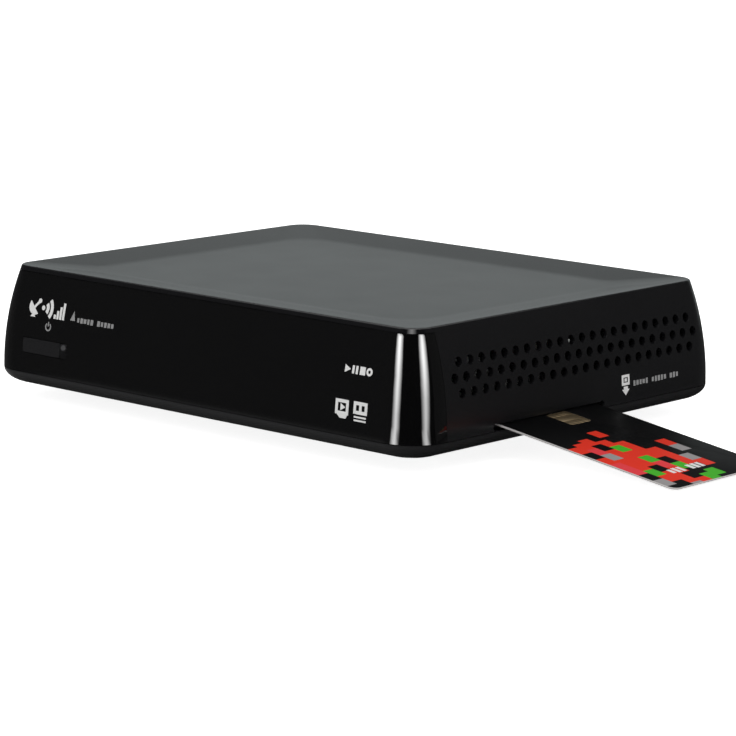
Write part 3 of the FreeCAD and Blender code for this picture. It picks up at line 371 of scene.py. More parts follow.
def board_finish(name, face):
    """Green mask over tracks on the faces that look along one axis, bare glass fibre on the edges."""
    finish, tree, shader = new_finish(name)
    where = surface(tree)
    place = split(tree, where["Object"])
    first, second = [stripes(tree, place[axis], TRACK_PITCH, TRACK_SHARE) for axis in "XYZ" if axis != face]
    patch = maths(tree, "GREATER_THAN", noise(tree, where["Object"], TURN_WAVES, 1.0), 0.5)
    copper = maths(tree, "GREATER_THAN", noise(tree, where["Object"], COPPER_WAVES, 0.0), COPPER_FROM)
    lines = maths(tree, "ADD", maths(tree, "MULTIPLY", first, patch),
                  maths(tree, "MULTIPLY", second, maths(tree, "SUBTRACT", 1.0, patch)))
    tracks = maths(tree, "MAXIMUM", lines, copper)
    mask = blend(tree, tracks, MASK_GREEN, TRACK_GREEN)
    facing = maths(tree, "ABSOLUTE", split(tree, where["Normal"])[face])
    edge = maths(tree, "LESS_THAN", facing, SQUARE_ON)
    wired(tree, shader, {"Base Color": blend(tree, edge, mask, GLASS_FIBRE), "Roughness": 0.34,
                         "Normal": raised(tree, tracks, TRACK_RELIEF)})
    return finish


dressed(board_finish("board_flat", "Z"), "main_board")
dressed(zinc, "board_screws")
epoxy = skinned("moulded_epoxy", (0.018, 0.018, 0.019), 0.55, drift=0.4, grain=3500, relief=0.02)
dressed(epoxy, "main_chip", "memory_chips", "flash_chip")
aluminium = skinned("extruded_aluminium", (0.70, 0.71, 0.72), 0.36, spread=0.3, grain=700, metal=1.0,
                    stretch=(6, 0.3, 6))
dressed(aluminium, "heat_sink")
tin = skinned("tinned_steel", (0.64, 0.63, 0.60), 0.26, drift=0.25, spread=0.25, grain=500, relief=0.004,
              metal=1.0)
dressed(tin, "clock_crystal")
ferrite = skinned("pressed_ferrite", (0.075, 0.072, 0.070), 0.6, drift=0.5, grain=2600, relief=0.03)
dressed(ferrite, "power_coils")

SLEEVE_BLACK, STRIPE_GREY, CAN_METAL = (0.014, 0.015, 0.022), (0.45, 0.44, 0.40), (0.72, 0.72, 0.73)
STRIPE_FROM = 0.86             # a face's normal along X, from which it is in the stripe


def can_finish():
    """A capacitor's can: bare aluminium on top, inside a printed black plastic sleeve."""
    finish, tree, shader = new_finish("capacitor_sleeve")
    facing = split(tree, surface(tree)["Normal"])
    top = maths(tree, "GREATER_THAN", facing["Z"], SQUARE_ON)
    sleeve = blend(tree, maths(tree, "GREATER_THAN", facing["X"], STRIPE_FROM), SLEEVE_BLACK, STRIPE_GREY)
    wired(tree, shader, {"Base Color": blend(tree, top, sleeve, CAN_METAL), "Metallic": top,
                         "Roughness": 0.3})
    return finish


dressed(can_finish(), "capacitors")

WHOLE, GEOMETRY, MATERIAL = "NodeSocketInt", "NodeSocketGeometry", "NodeSocketMaterial"
MAKES_MESH = {"Geometry": GEOMETRY}
LEAD_INPUTS = {"Count": WHOLE, "Pitch": FLOAT, "Reach": FLOAT, "Size": VECTOR, "Place": VECTOR,
               "Metal": MATERIAL}


def end_tree(tree, made, geometry, finish):
    """Ends a geometry tree: its instances become real and take their finish."""
    real = add(tree, "GeometryNodeRealizeInstances", {"Geometry": geometry})
    painted = add(tree, "GeometryNodeSetMaterial", {"Geometry": real, "Material": finish})
    wired(tree, made, {"Geometry": painted})


def grown(name, tree, sizes, mesh=None):
    """A piece that a node tree makes: its inputs are set before it first runs, then it becomes a mesh."""
    piece = shown(name, mesh or bpy.data.meshes.new(name))
    maker = piece.modifiers.new("maker", "NODES")
    maker.node_group = tree
    for socket in tree.interface.items_tree:
        if socket.in_out == "INPUT" and socket.name in sizes:
            maker[socket.identifier] = sizes[socket.name]
    return finished(piece)


def make_lead_rows():
    """Tree: two rows of flat leads, one along each side of a chip package."""
    tree, given, made = new_tree("GeometryNodeTree", "lead_rows", LEAD_INPUTS, MAKES_MESH)
    span = maths(tree, "MULTIPLY", maths(tree, "SUBTRACT", given["Count"], 1.0), given["Pitch"])
    step = add(tree, "ShaderNodeCombineXYZ", {"Y": given["Pitch"]})
    lead = add(tree, "GeometryNodeMeshCube", {"Size": given["Size"]})
    rows = tree.nodes.new("GeometryNodeJoinGeometry")
    for side in (-1.0, 1.0):
        first = add(tree, "ShaderNodeCombineXYZ", {"X": maths(tree, "MULTIPLY", given["Reach"], side),
                                                   "Y": maths(tree, "MULTIPLY", span, -0.5)})
        line = add(tree, "GeometryNodeMeshLine", {"Count": given["Count"], "Start Location": first,
                                                  "Offset": step})
        put = add(tree, "GeometryNodeInstanceOnPoints", {"Points": line, "Instance": lead})
        wired(tree, rows, {"Geometry": put})
    moved = add(tree, "GeometryNodeTransform", {"Geometry": rows, "Translation": given["Place"]})
    end_tree(tree, made, moved, given["Metal"])
    return tree


lead_rows = make_lead_rows()
BOARD_TOP = 14.0 * mm
LEAD_LENGTH, LEAD_THICK = 1.2 * mm, 0.15 * mm
LEAD_SHARE = 0.45              # a lead's width as a share of the pitch
LEAD_OUT = 0.4                 # how far the middle of a lead stands out of its package, in millimetres
LEAD_RISE = 0.12 * mm
# Each chip's name, its middle's x and y, its width, its leads on a side, and their pitch.
CHIPS = (("memory_leads_front", 14, -20, 9, 14, 0.8), ("memory_leads_back", 14, 2, 9, 14, 0.8),
         ("flash_leads", -60, -14, 12, 28, 0.6))
for name, x, y, width, count, pitch in CHIPS:
    leads = grown(name, lead_rows, {
        "Count": count, "Pitch": pitch * mm, "Reach": (width / 2 + LEAD_OUT) * mm,
        "Size": (LEAD_LENGTH, pitch * LEAD_SHARE * mm, LEAD_THICK),
        "Place": (x * mm, y * mm, BOARD_TOP + LEAD_RISE), "Metal": tin})
    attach(leads, "case")


# ---- Tuner
# A can of tinned sheet steel soldered to the board, with a sprung lid, round the aerial circuits.

dressed(tin, "tuner_can", "tuner_lid")


# ---- Aerial connectors
# Two turned brass connectors, nickel plated, with a fine thread on the barrel for the aerial cables.
# Each has a flange behind the panel, a neck under its nut, and a white insulator with the core's hole.

CONNECTORS = (("lnb_out_connector", -76.0, 1), ("lnb_in_connector", -58.0, -1))   # x in mm; 1 is out, -1 in
CONNECTOR_Z = 22.5 * mm
THREAD_CORE, THREAD_CREST = 4.36, 4.75     # radii in millimetres
THREAD_PITCH = 0.794 * mm
THREAD_START = 82.7 * mm
THREAD_TURNS = 10.5
BARREL_PROFILE = ((0.0, 78.0), (6.0, 78.0), (6.0, 79.0), (4.2, 79.0), (4.2, 82.4), (THREAD_CORE, 82.5),
                  (THREAD_CORE, 91.5), (4.16, 91.7), (3.55, 91.7), (3.4, 91.5), (3.4, 80.2), (0.0, 80.2))
BARREL_STEPS = 48
THREAD_INPUTS = {"Body": GEOMETRY, "Radius": FLOAT, "Pitch": FLOAT, "Turns": FLOAT, "Depth": FLOAT,
                 "Place": VECTOR, "Metal": MATERIAL}


def turned(name, profile, x, z):
    """A body turned about a line along Y through x, z, from a profile of radius and y in millimetres."""
    skin = bmesh.new()
    line = [skin.verts.new((x + radius * mm, y * mm, z)) for radius, y in profile]
    edges = [skin.edges.new(pair) for pair in zip(line, line[1:])]
    bmesh.ops.spin(skin, geom=line + edges, cent=(x, 0, z), axis=(0, 1, 0), angle=radians(360),
                   steps=BARREL_STEPS)
    bmesh.ops.remove_doubles(skin, verts=skin.verts, dist=SAME_POINT)
    bmesh.ops.recalc_face_normals(skin, faces=skin.faces)
    mesh = bpy.data.meshes.new(name)
    skin.to_mesh(mesh)
    skin.free()
    mesh.shade_smooth()
    mesh.set_sharp_from_angle(angle=SHADES_AS_ONE)
    return mesh


def make_thread():
    """Tree: adds a screw thread to a turned barrel, as a diamond section swept along a helix."""
    tree, given, made = new_tree("GeometryNodeTree", "screw_thread", THREAD_INPUTS, MAKES_MESH)
    helix = add(tree, "GeometryNodeCurveSpiral", {
        "Resolution": 40, "Rotations": given["Turns"], "Start Radius": given["Radius"],
        "End Radius": given["Radius"], "Height": maths(tree, "MULTIPLY", given["Turns"], given["Pitch"])})
    steady = add(tree, "GeometryNodeSetCurveNormal", {"Curve": helix}, mode="Z_UP")
    ridge = add(tree, "GeometryNodeCurvePrimitiveCircle", {"Resolution": 4, "Radius": given["Depth"]})
    sweep = add(tree, "GeometryNodeCurveToMesh", {"Curve": steady, "Profile Curve": ridge, "Fill Caps": True})
    moved = add(tree, "GeometryNodeTransform", {"Geometry": sweep, "Translation": given["Place"],
                                                "Rotation": (radians(-90), 0, 0)})
    both = add(tree, "GeometryNodeJoinGeometry", {"Geometry": given["Body"]})
    wired(tree, both, {"Geometry": moved})
    end_tree(tree, made, both, given["Metal"])
    return tree


screw_thread = make_thread()
nickel = skinned("nickel_plate", (0.66, 0.63, 0.58), 0.2, drift=0.15, spread=0.15, grain=1200, relief=0.002,
                 metal=1.0)
for node, x, _ in CONNECTORS:
    barrel = grown(f"{node}_barrel", screw_thread, {
        "Radius": THREAD_CORE * mm, "Pitch": THREAD_PITCH, "Turns": THREAD_TURNS,
        "Depth": (THREAD_CREST - THREAD_CORE) * mm, "Place": (x * mm, THREAD_START, CONNECTOR_Z),
        "Metal": nickel}, mesh=turned(f"{node}_barrel", BARREL_PROFILE, x * mm, CONNECTOR_Z))
    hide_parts(node)
    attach(barrel, "case")
eased("lnb_nuts", 0.2 * mm, nickel, "nut", steps=3)
white_nylon = skinned("white_insulator", (0.72, 0.70, 0.65), 0.45, drift=0.08, grain=1800, relief=0.004)
eased("lnb_insulators", 0.12 * mm, white_nylon, "core")


# ---- Sockets along the rear edge
# Bent shells of nickel-plated steel round moulded contact blocks, soldered to the board's rear edge.
# The mouldings are matt glass-filled nylon, and the contacts are gold plated.

socket_black = skinned("socket_moulding", (0.014, 0.014, 0.015), 0.5, drift=0.4, grain=3000, relief=0.012)
gold = skinned("gold_plate", (0.86, 0.62, 0.28), 0.3, spread=0.2, grain=900, relief=0.002, metal=1.0)
orange = skinned("orange_moulding", (0.72, 0.16, 0.02), 0.4, drift=0.1, grain=2200, relief=0.006)
eased("hdmi_shell", 0.1 * mm, nickel, "pressing")
eased("scart_socket", 0.2 * mm, socket_black)
eased("rca_body", 0.15 * mm, orange)
eased("rca_barrel", 0.15 * mm, nickel, "turning", steps=3)
eased("usb_shell", 0.1 * mm, nickel, "pressing")
eased("jack_body", 0.2 * mm, socket_black)
dressed(socket_black, "hdmi_tongue")
dressed(gold, "scart_contacts")
dressed(white_nylon, "usb_tongue")
dressed(nickel, "jack_pin")


# ---- Power switch
# A black nylon housing that snaps into the panel, with a rocker on two pins and two blade terminals.
# The rocker's two ends carry the printed line and ring for on and off.

rocker_black = skinned("rocker_moulding", (0.013, 0.013, 0.014), 0.32, drift=0.3, grain=2400, relief=0.004)
eased("switch_housing", 0.4 * mm, socket_black, steps=3)
eased("switch_rocker", 0.35 * mm, rocker_black, steps=3)
dressed(nickel, "switch_terminals")

ROCKER_PIVOT = Vector((80.0, 78.4, 28.0)) * mm
ROCKER_REST = radians(-10)
ROCKER_MIDDLE, ROCKER_END = 3.4, 5.0       # how far its face stands off the pivot, in millimetres
ROCKER_HALF = 7.4
INK_PROUD = 0.03 * mm
INK_THICK = 0.05 * mm
INK_MERGE = 0.005 * mm


def evenly(start, stop, steps):
    """Values at equal steps from start to stop."""
    return [start + (stop - start) * i / steps for i in range(steps + 1)]


def stroke(points, width):
    """The quads of a line of even width through points."""
    closed = math.dist(points[0], points[-1]) < TINY
    beyond = (points[-2], points[1]) if closed else (points[0], points[-1])
    sides = []
    for (u, v), before, after in zip(points, [beyond[0], *points], [*points[1:], beyond[1]]):
        du, dv = after[0] - before[0], after[1] - before[1]
        half = width / 2 / math.hypot(du, dv)
        sides.append(((u - dv * half, v + du * half), (u + dv * half, v - du * half)))
    return [(b[0], a[0], a[1], b[1]) for a, b in zip(sides, sides[1:])]


def ring(u, v, radius, width, start=0, stop=360, steps=28):
    """A ring or an arc of even width, in degrees anticlockwise from the right."""
    turns = evenly(radians(start), radians(stop), steps)
    return stroke([(u + radius * cos(turn), v + radius * sin(turn)) for turn in turns], width)


def bar(u_low, v_low, u_high, v_high, pieces=4):
    """An upright bar in a few quads, one above the other."""
    levels = evenly(v_low, v_high, pieces)
    return [((u_low, v), (u_high, v), (u_high, w), (u_low, w)) for v, w in zip(levels, levels[1:])]


def lay_ink(name, shapes, place, ink, body="case"):
    """Lays a thin printed film on a surface: place(u, v) is the surface's point, in millimetres."""
    skin = bmesh.new()
    for corners in shapes:
        skin.faces.new([skin.verts.new(place(u, v)) for u, v in corners])
    bmesh.ops.remove_doubles(skin, verts=skin.verts, dist=INK_MERGE)
    mesh = bpy.data.meshes.new(name)
    skin.to_mesh(mesh)
    skin.free()
    film = shown(name, mesh)
    thickness = film.modifiers.new("film", "SOLIDIFY")
    thickness.thickness = INK_THICK
    thickness.offset = -1.0
    finished(film)
    film.data.materials.append(ink)
    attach(film, body)


def rocker_face(side):
    """The rocker's face on one side of its middle, as a surface for its print."""
    turn = Matrix.Rotation(ROCKER_REST, 3, "X")
    fall = ROCKER_END - ROCKER_MIDDLE
    outward = Vector((0, ROCKER_HALF, -side * fall)).normalized()

    def place(u, v):
        face = Vector((0, ROCKER_MIDDLE + fall * abs(v) / ROCKER_HALF, v)) * mm
        return ROCKER_PIVOT - Vector((u * mm, 0, 0)) + turn @ (face + outward * INK_PROUD)
    return place


white_ink = skinned("white_ink", (0.80, 0.80, 0.79), 0.45, drift=0.06, spread=0.1, grain=5000, relief=0.002)
grey_ink = skinned("grey_ink", (0.30, 0.30, 0.30), 0.45, spread=0.1, grain=5000, relief=0.002)
lay_ink("rocker_on_line", bar(-0.3, 2.6, 0.3, 5.6), rocker_face(1), white_ink, "power_rocker")
lay_ink("rocker_off_ring", ring(0, -4.1, 1.5, 0.6), rocker_face(-1), white_ink, "power_rocker")


# ---- Rear panel
# Sheet steel with a punched cut-out for each socket, finished in black powder coat with a fine ripple.
# Small screen-printed signs stand over the sockets, and two screws hold the panel to the cover.

powder_coat = skinned("black_powder_coat", (0.020, 0.020, 0.021), 0.42, drift=0.3, spread=0.12, grain=1500,
                      relief=0.035)
eased("rear_panel", 0.15 * mm, powder_coat, "sheet")
eased("panel_screws", 0.12 * mm, zinc, "steel")

PANEL_BACK = 80.2 * mm
HDMI_U, SCART_U, SOUND_U, USB_U, POWER_U = 38.0, 27.0, -30.0, -46.5, -62.0
SIGN_LINE = 0.4                # width of the lines of most signs, in millimetres
DISH_STAND = ((-0.32, -0.6), (0.12, -0.6), (-0.1, -0.38))      # as shares of the sign's size


def on_panel(u, v):
    """A point on the panel's face; u runs to the right for someone behind the receiver."""
    return Vector((-u * mm, PANEL_BACK + INK_PROUD, v * mm))


def dish_sign(u, v, size, width):
    """A filled dish that looks up to the right, with its feed on an arm and a small stand."""
    radius, shallow = size * 0.5, size * 0.1
    top = (math.sqrt(2 * radius ** 2 - shallow ** 2) - shallow) / 2
    rows = []
    for rise in evenly(-radius, top, 8):
        half = math.sqrt(max(radius ** 2 - rise ** 2, 0))
        rows.append((u - half, u + min(half, -rise - shallow), v + rise))
    bowl = [((a, low), (b, low), (d, high), (c, high)) for (a, b, low), (c, d, high) in zip(rows, rows[1:])]
    arm = stroke([(u - shallow / 2, v - shallow / 2), (u + size * 0.3, v + size * 0.3)], width)
    feed = ring(u + size * 0.34, v + size * 0.34, width * 0.45, width * 0.9, steps=12)
    return bowl + arm + feed + [[(u + size * across, v + size * up) for across, up in DISH_STAND]]


def arrow_sign(u, v, size, width, turn):
    """A straight arrow; turn is 1 for up and -1 for down."""
    middle, foot, tip = v + turn * size * 0.5, v + turn * size * 0.45, v + turn * size
    shaft = bar(u - width / 2, min(v, middle), u + width / 2, max(v, middle))
    head = [(u - size * 0.3, foot), (u + size * 0.3, foot), (u, tip)]
    return shaft + [head if turn > 0 else head[::-1]]


def frame_sign(u, v, width, height, line):
    """A plain upright box in outline."""
    left, right, low, high = u - width / 2, u + width / 2, v - height / 2, v + height / 2
    return (bar(left, low, left + line, high) + bar(right - line, low, right, high)
            + bar(left, low, right, low + line, 1) + bar(left, high - line, right, high, 1))


def screen_sign(u, v, size, line):
    """A screen on a foot."""
    foot = bar(u - size * 0.22, v - size * 0.5, u + size * 0.22, v - size * 0.5 + line, 1)
    return frame_sign(u, v + size * 0.1, size * 1.2, size * 0.8, line) + foot


rear_signs = []
for _, x, way_out in CONNECTORS:
    rear_signs += dish_sign(-x - 1.8, 33.2, 4.2, 0.42)
    rear_signs += arrow_sign(-x + 2.4, 33.2 - 1.6 * way_out, 3.2, 0.5, way_out)
rear_signs += screen_sign(HDMI_U, 25.2, 3.4, SIGN_LINE)
rear_signs += screen_sign(SCART_U, 34.2, 3.4, SIGN_LINE)
rear_signs += ring(SOUND_U, 29.0, 1.6, SIGN_LINE) + ring(SOUND_U, 29.0, 0.45, 0.5)
rear_signs += frame_sign(USB_U, 25.4, 4.6, 2.4, SIGN_LINE) + bar(USB_U - 1.6, 24.9, USB_U - 0.8, 25.9, 1)
for off, radius in ((-3.2, 0.95), (0, 0.4), (3.2, 0.95)):
    rear_signs += ring(POWER_U + off, 29.0, radius, 0.36)
for left, right in ((-2.3, -0.7), (0.7, 2.3)):
    rear_signs += bar(POWER_U + left, 28.85, POWER_U + right, 29.15, 1)
lay_ink("panel_signs", rear_signs, on_panel, white_ink)


# ---- Card reader
# A nylon channel under a thin steel plate, on its own small board that slopes down to the slot.
# Leaf springs in a carrier meet the card's contacts at the end of its travel.

dressed(socket_black, "reader_frame", "contact_block")
dressed(tin, "reader_cover")
dressed(gold, "contact_springs")
dressed(board_finish("board_sloping", "Z"), "reader_board")
dressed(zinc, "reader_screws")


# ---- Front board
# A small upright board that carries the switch of the key, the status light and the remote's eye.
# Flat cables of grey film with tinned conductors join it and the reader to the main board.

CABLE_PITCH = 1.0 * mm
CABLE_SHARE = 0.6              # of the pitch
CABLE_RELIEF = 0.05 * mm
FILM_GREY, CONDUCTOR_GREY = (0.30, 0.30, 0.31), (0.55, 0.54, 0.52)

dressed(board_finish("board_upright", "Y"), "front_board")
dressed(zinc, "front_board_screws")
dressed(tin, "tact_switch")
brown = skinned("brown_plunger", (0.16, 0.05, 0.02), 0.4, relief=0.004)
dressed(brown, "tact_plunger")
dark_lens = skinned("dark_lens", (0.030, 0.008, 0.010), 0.08, drift=0.3, grain=800, relief=0)
dressed(dark_lens, "ir_receiver")
dressed(white_nylon, "ribbon_sockets")


def cable_finish(name, across):
    """Grey film with the conductors showing as paler lines along it."""
    finish, tree, shader = new_finish(name)
    place = split(tree, surface(tree)["Object"])
    lines = stripes(tree, place[across], CABLE_PITCH, CABLE_SHARE)
    wired(tree, shader, {"Base Color": blend(tree, lines, FILM_GREY, CONDUCTOR_GREY),
                         "Normal": raised(tree, lines, CABLE_RELIEF), "Roughness": 0.4})
    return finish


dressed(cable_finish("cable_to_front", "X"), "front_ribbon")
dressed(cable_finish("cable_to_reader", "Y"), "reader_ribbon")
clear_lens = skinned("clear_epoxy", (0.62, 0.62, 0.60), 0.12, drift=0.05, grain=900, relief=0)
dressed(clear_lens, "status_led")


# ---- Standby key and its window
# The key is a black cap that lies flush in the front, and beside it is a small smoked window.
# The window is a clear moulding tinted dark, which carries the status light to the front.

key_plastic = skinned("key_moulding", (0.013, 0.013, 0.014), 0.22, grain=2600, relief=0.002)
standby_key = eased("standby_button", 0.18 * mm, key_plastic, steps=3)

LIGHT_PATCH = (-67.6 * mm, 0, 23.5 * mm)        # middle of the frosted patch over the status light
PATCH_HALVES = (1.5 * mm, 1.25 * mm)            # its half width and half height
PATCH_EDGE = (1.15, 0.6)                        # where it starts and where it is full, as shares of those
# The window's own smoked black, and the paler grey of a bright spot painted on the patch as light.
SMOKED_BLACK, PAINTED_SPOT_GREY = (0.012, 0.012, 0.013), (0.14, 0.14, 0.146)


def smoked_finish():
    """A smoked clear plastic, with a frosted patch behind which the status light stands; the patch's paler
    grey is painted light, a bright spot over the status light.
    """
    finish, tree, shader = new_finish("smoked_window")
    where = surface(tree)["Object"]
    off = add(tree, "ShaderNodeVectorMath", {0: where, 1: LIGHT_PATCH}, operation="SUBTRACT")
    shares = add(tree, "ShaderNodeVectorMath", {0: off, 1: (1 / PATCH_HALVES[0], 0, 1 / PATCH_HALVES[1])},
                 operation="MULTIPLY")
    reach = add(tree, "ShaderNodeVectorMath", {0: shares}, operation="LENGTH").outputs["Value"]
    # How much of the painted bright spot and of the frosting each point has.
    frost_and_painted_spot = add(tree, "ShaderNodeMapRange", {"Value": reach, "From Min": PATCH_EDGE[0],
                                             "From Max": PATCH_EDGE[1], "To Min": 0.0, "To Max": 1.0})
    # The colour takes the painted bright spot over the smoked black; the roughness takes the frosting.
    wired(tree, shader, {"Base Color": blend(tree, frost_and_painted_spot, SMOKED_BLACK, PAINTED_SPOT_GREY),
                         "Roughness": maths(tree, "MULTIPLY_ADD", frost_and_painted_spot, 0.2, 0.12),
                         "Transmission Weight": 0.5})
    return finish


key_window = eased("led_window", 0.2 * mm, smoked_finish(), steps=3)


# ---- Front
# The gloss black moulding that wraps both front corners: ABS from a polished mould, held by two posts.
# Its signs are printed with a soft pad, which leaves a thin raised film of ink.

gloss_black = skinned("gloss_black_front", (0.0030, 0.0030, 0.0032), 0.045, spread=0.02, grain=900,
                      relief=0)
gloss_front = eased("front_bezel", 0.3 * mm, gloss_black, steps=3, on_form=True)

PLAY_U, PLAY_LOW, PLAY_HIGH = 74.9, 33.4, 36.2
DASH_INPUTS = {"Count": WHOLE, "Pitch": FLOAT, "Size": VECTOR, "Word": WHOLE, "Seed": WHOLE,
               "Place": VECTOR, "Turn": VECTOR, "Ink": MATERIAL}
DASH_LEAST, DASH_MOST = (0.7, 1.0, 0.75), (1.0, 1.0, 1.0)      # shares of a dash's full size
WALL_DASHES = {"Pitch": 1.85 * mm, "Size": (1.5 * mm, INK_THICK, 2.1 * mm), "Word": 6}
FRONT_DASH_X, FRONT_DASH_Z = -62.9, 34.6


def on_front(u, v):
    """A point on the front's curved face; u runs to the right."""
    return Vector((u * mm, -CORNER_Y - wall_reach(v * mm) - INK_PROUD, v * mm))


def wave_sign(u, v, size, width):
    """Two arcs that spread from a dot, for radio waves."""
    dot = ring(u, v, width * 0.3, width * 0.6, steps=12)
    return dot + [quad for share in (0.45, 0.85) for quad in ring(u, v, size * share, width, -42, 42, 14)]


def level_sign(u, v, size, count):
    """Bars that rise to the right, for signal strength."""
    step = size / count
    return [quad for i in range(count)
            for quad in bar(u + i * step, v, u + (i + 0.74) * step, v + size * (i + 1) / count)]


main_sign = dish_sign(-85.5, 37.0, 6.6, 1.0) + wave_sign(-80.9, 36.9, 5.6, 1.5)
main_sign += level_sign(-74.7, 33.6, 6.2, 4)
lay_ink("front_main_sign", main_sign, on_front, white_ink)
grey_signs = ring(-77.0, 30.2, 1.35, 0.55, 125, 415, 24) + bar(-77.27, 30.4, -76.73, 32.1)
grey_signs += [((-65.5, 34.1), (-62.9, 34.1), (-63.8, 37.7))]
lay_ink("front_grey_signs", grey_signs, on_front, grey_ink)
play_middle = (PLAY_LOW + PLAY_HIGH) / 2
play_row = [((PLAY_U, PLAY_LOW), (PLAY_U + 2.7, play_middle), (PLAY_U, PLAY_HIGH))]
for left, right in ((3.4, 4.4), (5.1, 6.1), (7.0, 9.5)):
    play_row += bar(PLAY_U + left, PLAY_LOW, PLAY_U + right, PLAY_HIGH)
play_row += ring(PLAY_U + 11.4, play_middle, 1.0, 0.8)
lay_ink("front_play_signs", play_row, on_front, white_ink)
picture_signs = frame_sign(75.4, 21.4, 6.2, 5.4, 1.2) + [((74.7, 20.1), (77.0, 21.4), (74.7, 22.7))]
picture_signs += [((74.6, 17.5), (77.3, 17.5), (78.1, 18.8), (73.0, 18.8))]
picture_signs += frame_sign(84.0, 22.0, 6.4, 4.4, 1.2) + bar(83.4, 21.0, 84.6, 23.0)
picture_signs += bar(81.2, 18.5, 86.8, 19.1, 1) + bar(81.2, 17.3, 86.8, 17.9, 1)
lay_ink("front_picture_signs", picture_signs, on_front, white_ink)


def make_dash_row():
    """Tree: a row of thin printed dashes of uneven height, with a gap after each few."""
    tree, given, made = new_tree("GeometryNodeTree", "dash_row", DASH_INPUTS, MAKES_MESH)
    step = add(tree, "ShaderNodeCombineXYZ", {"X": given["Pitch"]})
    line = add(tree, "GeometryNodeMeshLine", {"Count": given["Count"], "Offset": step})
    place_in_word = maths(tree, "MODULO", tree.nodes.new("GeometryNodeInputIndex"), given["Word"])
    dash = add(tree, "GeometryNodeMeshCube", {"Size": given["Size"]})
    chance = add(tree, "FunctionNodeRandomValue", {0: DASH_LEAST, 1: DASH_MOST, "Seed": given["Seed"]},
                 data_type="FLOAT_VECTOR")
    put = add(tree, "GeometryNodeInstanceOnPoints", {
        "Points": line, "Selection": maths(tree, "GREATER_THAN", place_in_word, 0.5), "Instance": dash,
        "Scale": chance})
    moved = add(tree, "GeometryNodeTransform", {"Geometry": put, "Translation": given["Place"],
                                                "Rotation": given["Turn"]})
    end_tree(tree, made, moved, given["Ink"])
    return tree


dash_row = make_dash_row()


def lay_dashes(name, ink, body, **sizes):
    """A printed row of dashes, each word of it a few dashes long."""
    dashes = grown(name, dash_row, {**sizes, "Ink": ink})
    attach(dashes, body)


def wall_lean(v):
    """How far the side wall leans back at a height in millimetres."""
    return math.asin((v * mm - WIDEST_Z) / FLARE_RADIUS)


lay_dashes("front_dashes", grey_ink, "case", **WALL_DASHES, Count=12, Seed=4,
           Place=on_front(FRONT_DASH_X, FRONT_DASH_Z), Turn=(-wall_lean(FRONT_DASH_Z), 0, 0))


# ---- Top cover
# The upper moulding: the top and both side walls in one piece of satin black ABS, with vent holes.
# On its right wall is a printed sign that shows which way the card goes in.

FRONT_EDGE_Y = -71.6 * mm      # in front of this the cover is only an edge over the front, and polished
UPRIGHT_BELOW = 0.6            # a face's normal along Z, below which it counts as upright
POLISHED = 0.05                # roughness
SIDE_DASH_Y, SIDE_DASH_Z = 31.8, 18.2


def cover_finish():
    """The cover's satin black, with gloss on the upright face of its edge over the front."""
    finish = skinned("satin_black_cover", (0.0060, 0.0060, 0.0068), 0.24, drift=0.25, spread=0.05,
                     relief=0.0015)
    tree = finish.node_tree
    shader = tree.nodes["Principled BSDF"]
    where = surface(tree)
    in_front = maths(tree, "LESS_THAN", split(tree, where["Object"])["Y"], FRONT_EDGE_Y)
    upright = maths(tree, "LESS_THAN", split(tree, where["Normal"])["Z"], UPRIGHT_BELOW)
    satin = maths(tree, "SUBTRACT", 1.0, maths(tree, "MULTIPLY", in_front, upright))
    rough = maths(tree, "MULTIPLY", shader.inputs["Roughness"].links[0].from_socket, satin)
    wired(tree, shader, {"Roughness": maths(tree, "MAXIMUM", rough, POLISHED)})
    return finish


cover = eased("top_cover", 0.25 * mm, cover_finish(), on_form=True)


def on_side(u, v):
    """A point on the right wall; u runs to the rear."""
    return Vector((CORNER_X + wall_reach(v * mm) + INK_PROUD, u * mm, v * mm))


card_sign = frame_sign(28.5, 20.0, 4.6, 3.9, 1.0) + bar(27.8, 19.4, 29.2, 20.6, 1)
card_sign += [((27.3, 16.4), (29.7, 16.4), (29.7, 17.6), (27.3, 17.6))]
card_sign += [((26.3, 16.6), (28.5, 14.3), (30.7, 16.6))]
lay_ink("side_card_sign", card_sign, on_side, white_ink)
lay_dashes("side_dashes", grey_ink, "case", **WALL_DASHES, Count=16, Seed=9,
           Place=on_side(SIDE_DASH_Y, SIDE_DASH_Z), Turn=(-wall_lean(SIDE_DASH_Z), 0, radians(90)))


# ---- Smart card
# A laminated PVC card of the usual identity size, printed on top, with its edges left pale.
# Its contact plate is gold-plated copper on glass fibre, glued into a milled pocket.

CARD_PLACE = Vector((110.0, -15.5, 13.1)) * mm      # where the card's middle crosses the side wall
CARD_TILT = radians(8)
CARD_WAY = Vector((cos(CARD_TILT), 0, -sin(CARD_TILT)))
CARD_NORMAL = Vector((sin(CARD_TILT), 0, cos(CARD_TILT)))
CARD_HALF = 0.38 * mm
CELL = (6.2 * mm, 5.4 * mm)
CELL_SHIFT = 0.37                                   # of a cell, from each row to the next
PRINT_MIDDLE = (48.0 * mm, -16.0 * mm)              # corner of the middle cell, along and across from there
PRINT_REACH = 34.0 * mm
PRINT_DENSEST = 0.85
PRINT_COLOURS = ((0.0, (0.72, 0.036, 0.018)), (0.56, (0.060, 0.420, 0.025)), (0.76, (0.300, 0.285, 0.285)),
                 (0.90, (0.72, 0.050, 0.060)))
CARD_BLACK, CARD_CORE = (0.003, 0.003, 0.0033), (0.60, 0.58, 0.57)
CARD_TOP_FROM = 0.9                                 # how squarely a face of the card's top looks up
CARD_DASH_ALONG, CARD_DASH_ACROSS = 64 * mm, 15 * mm


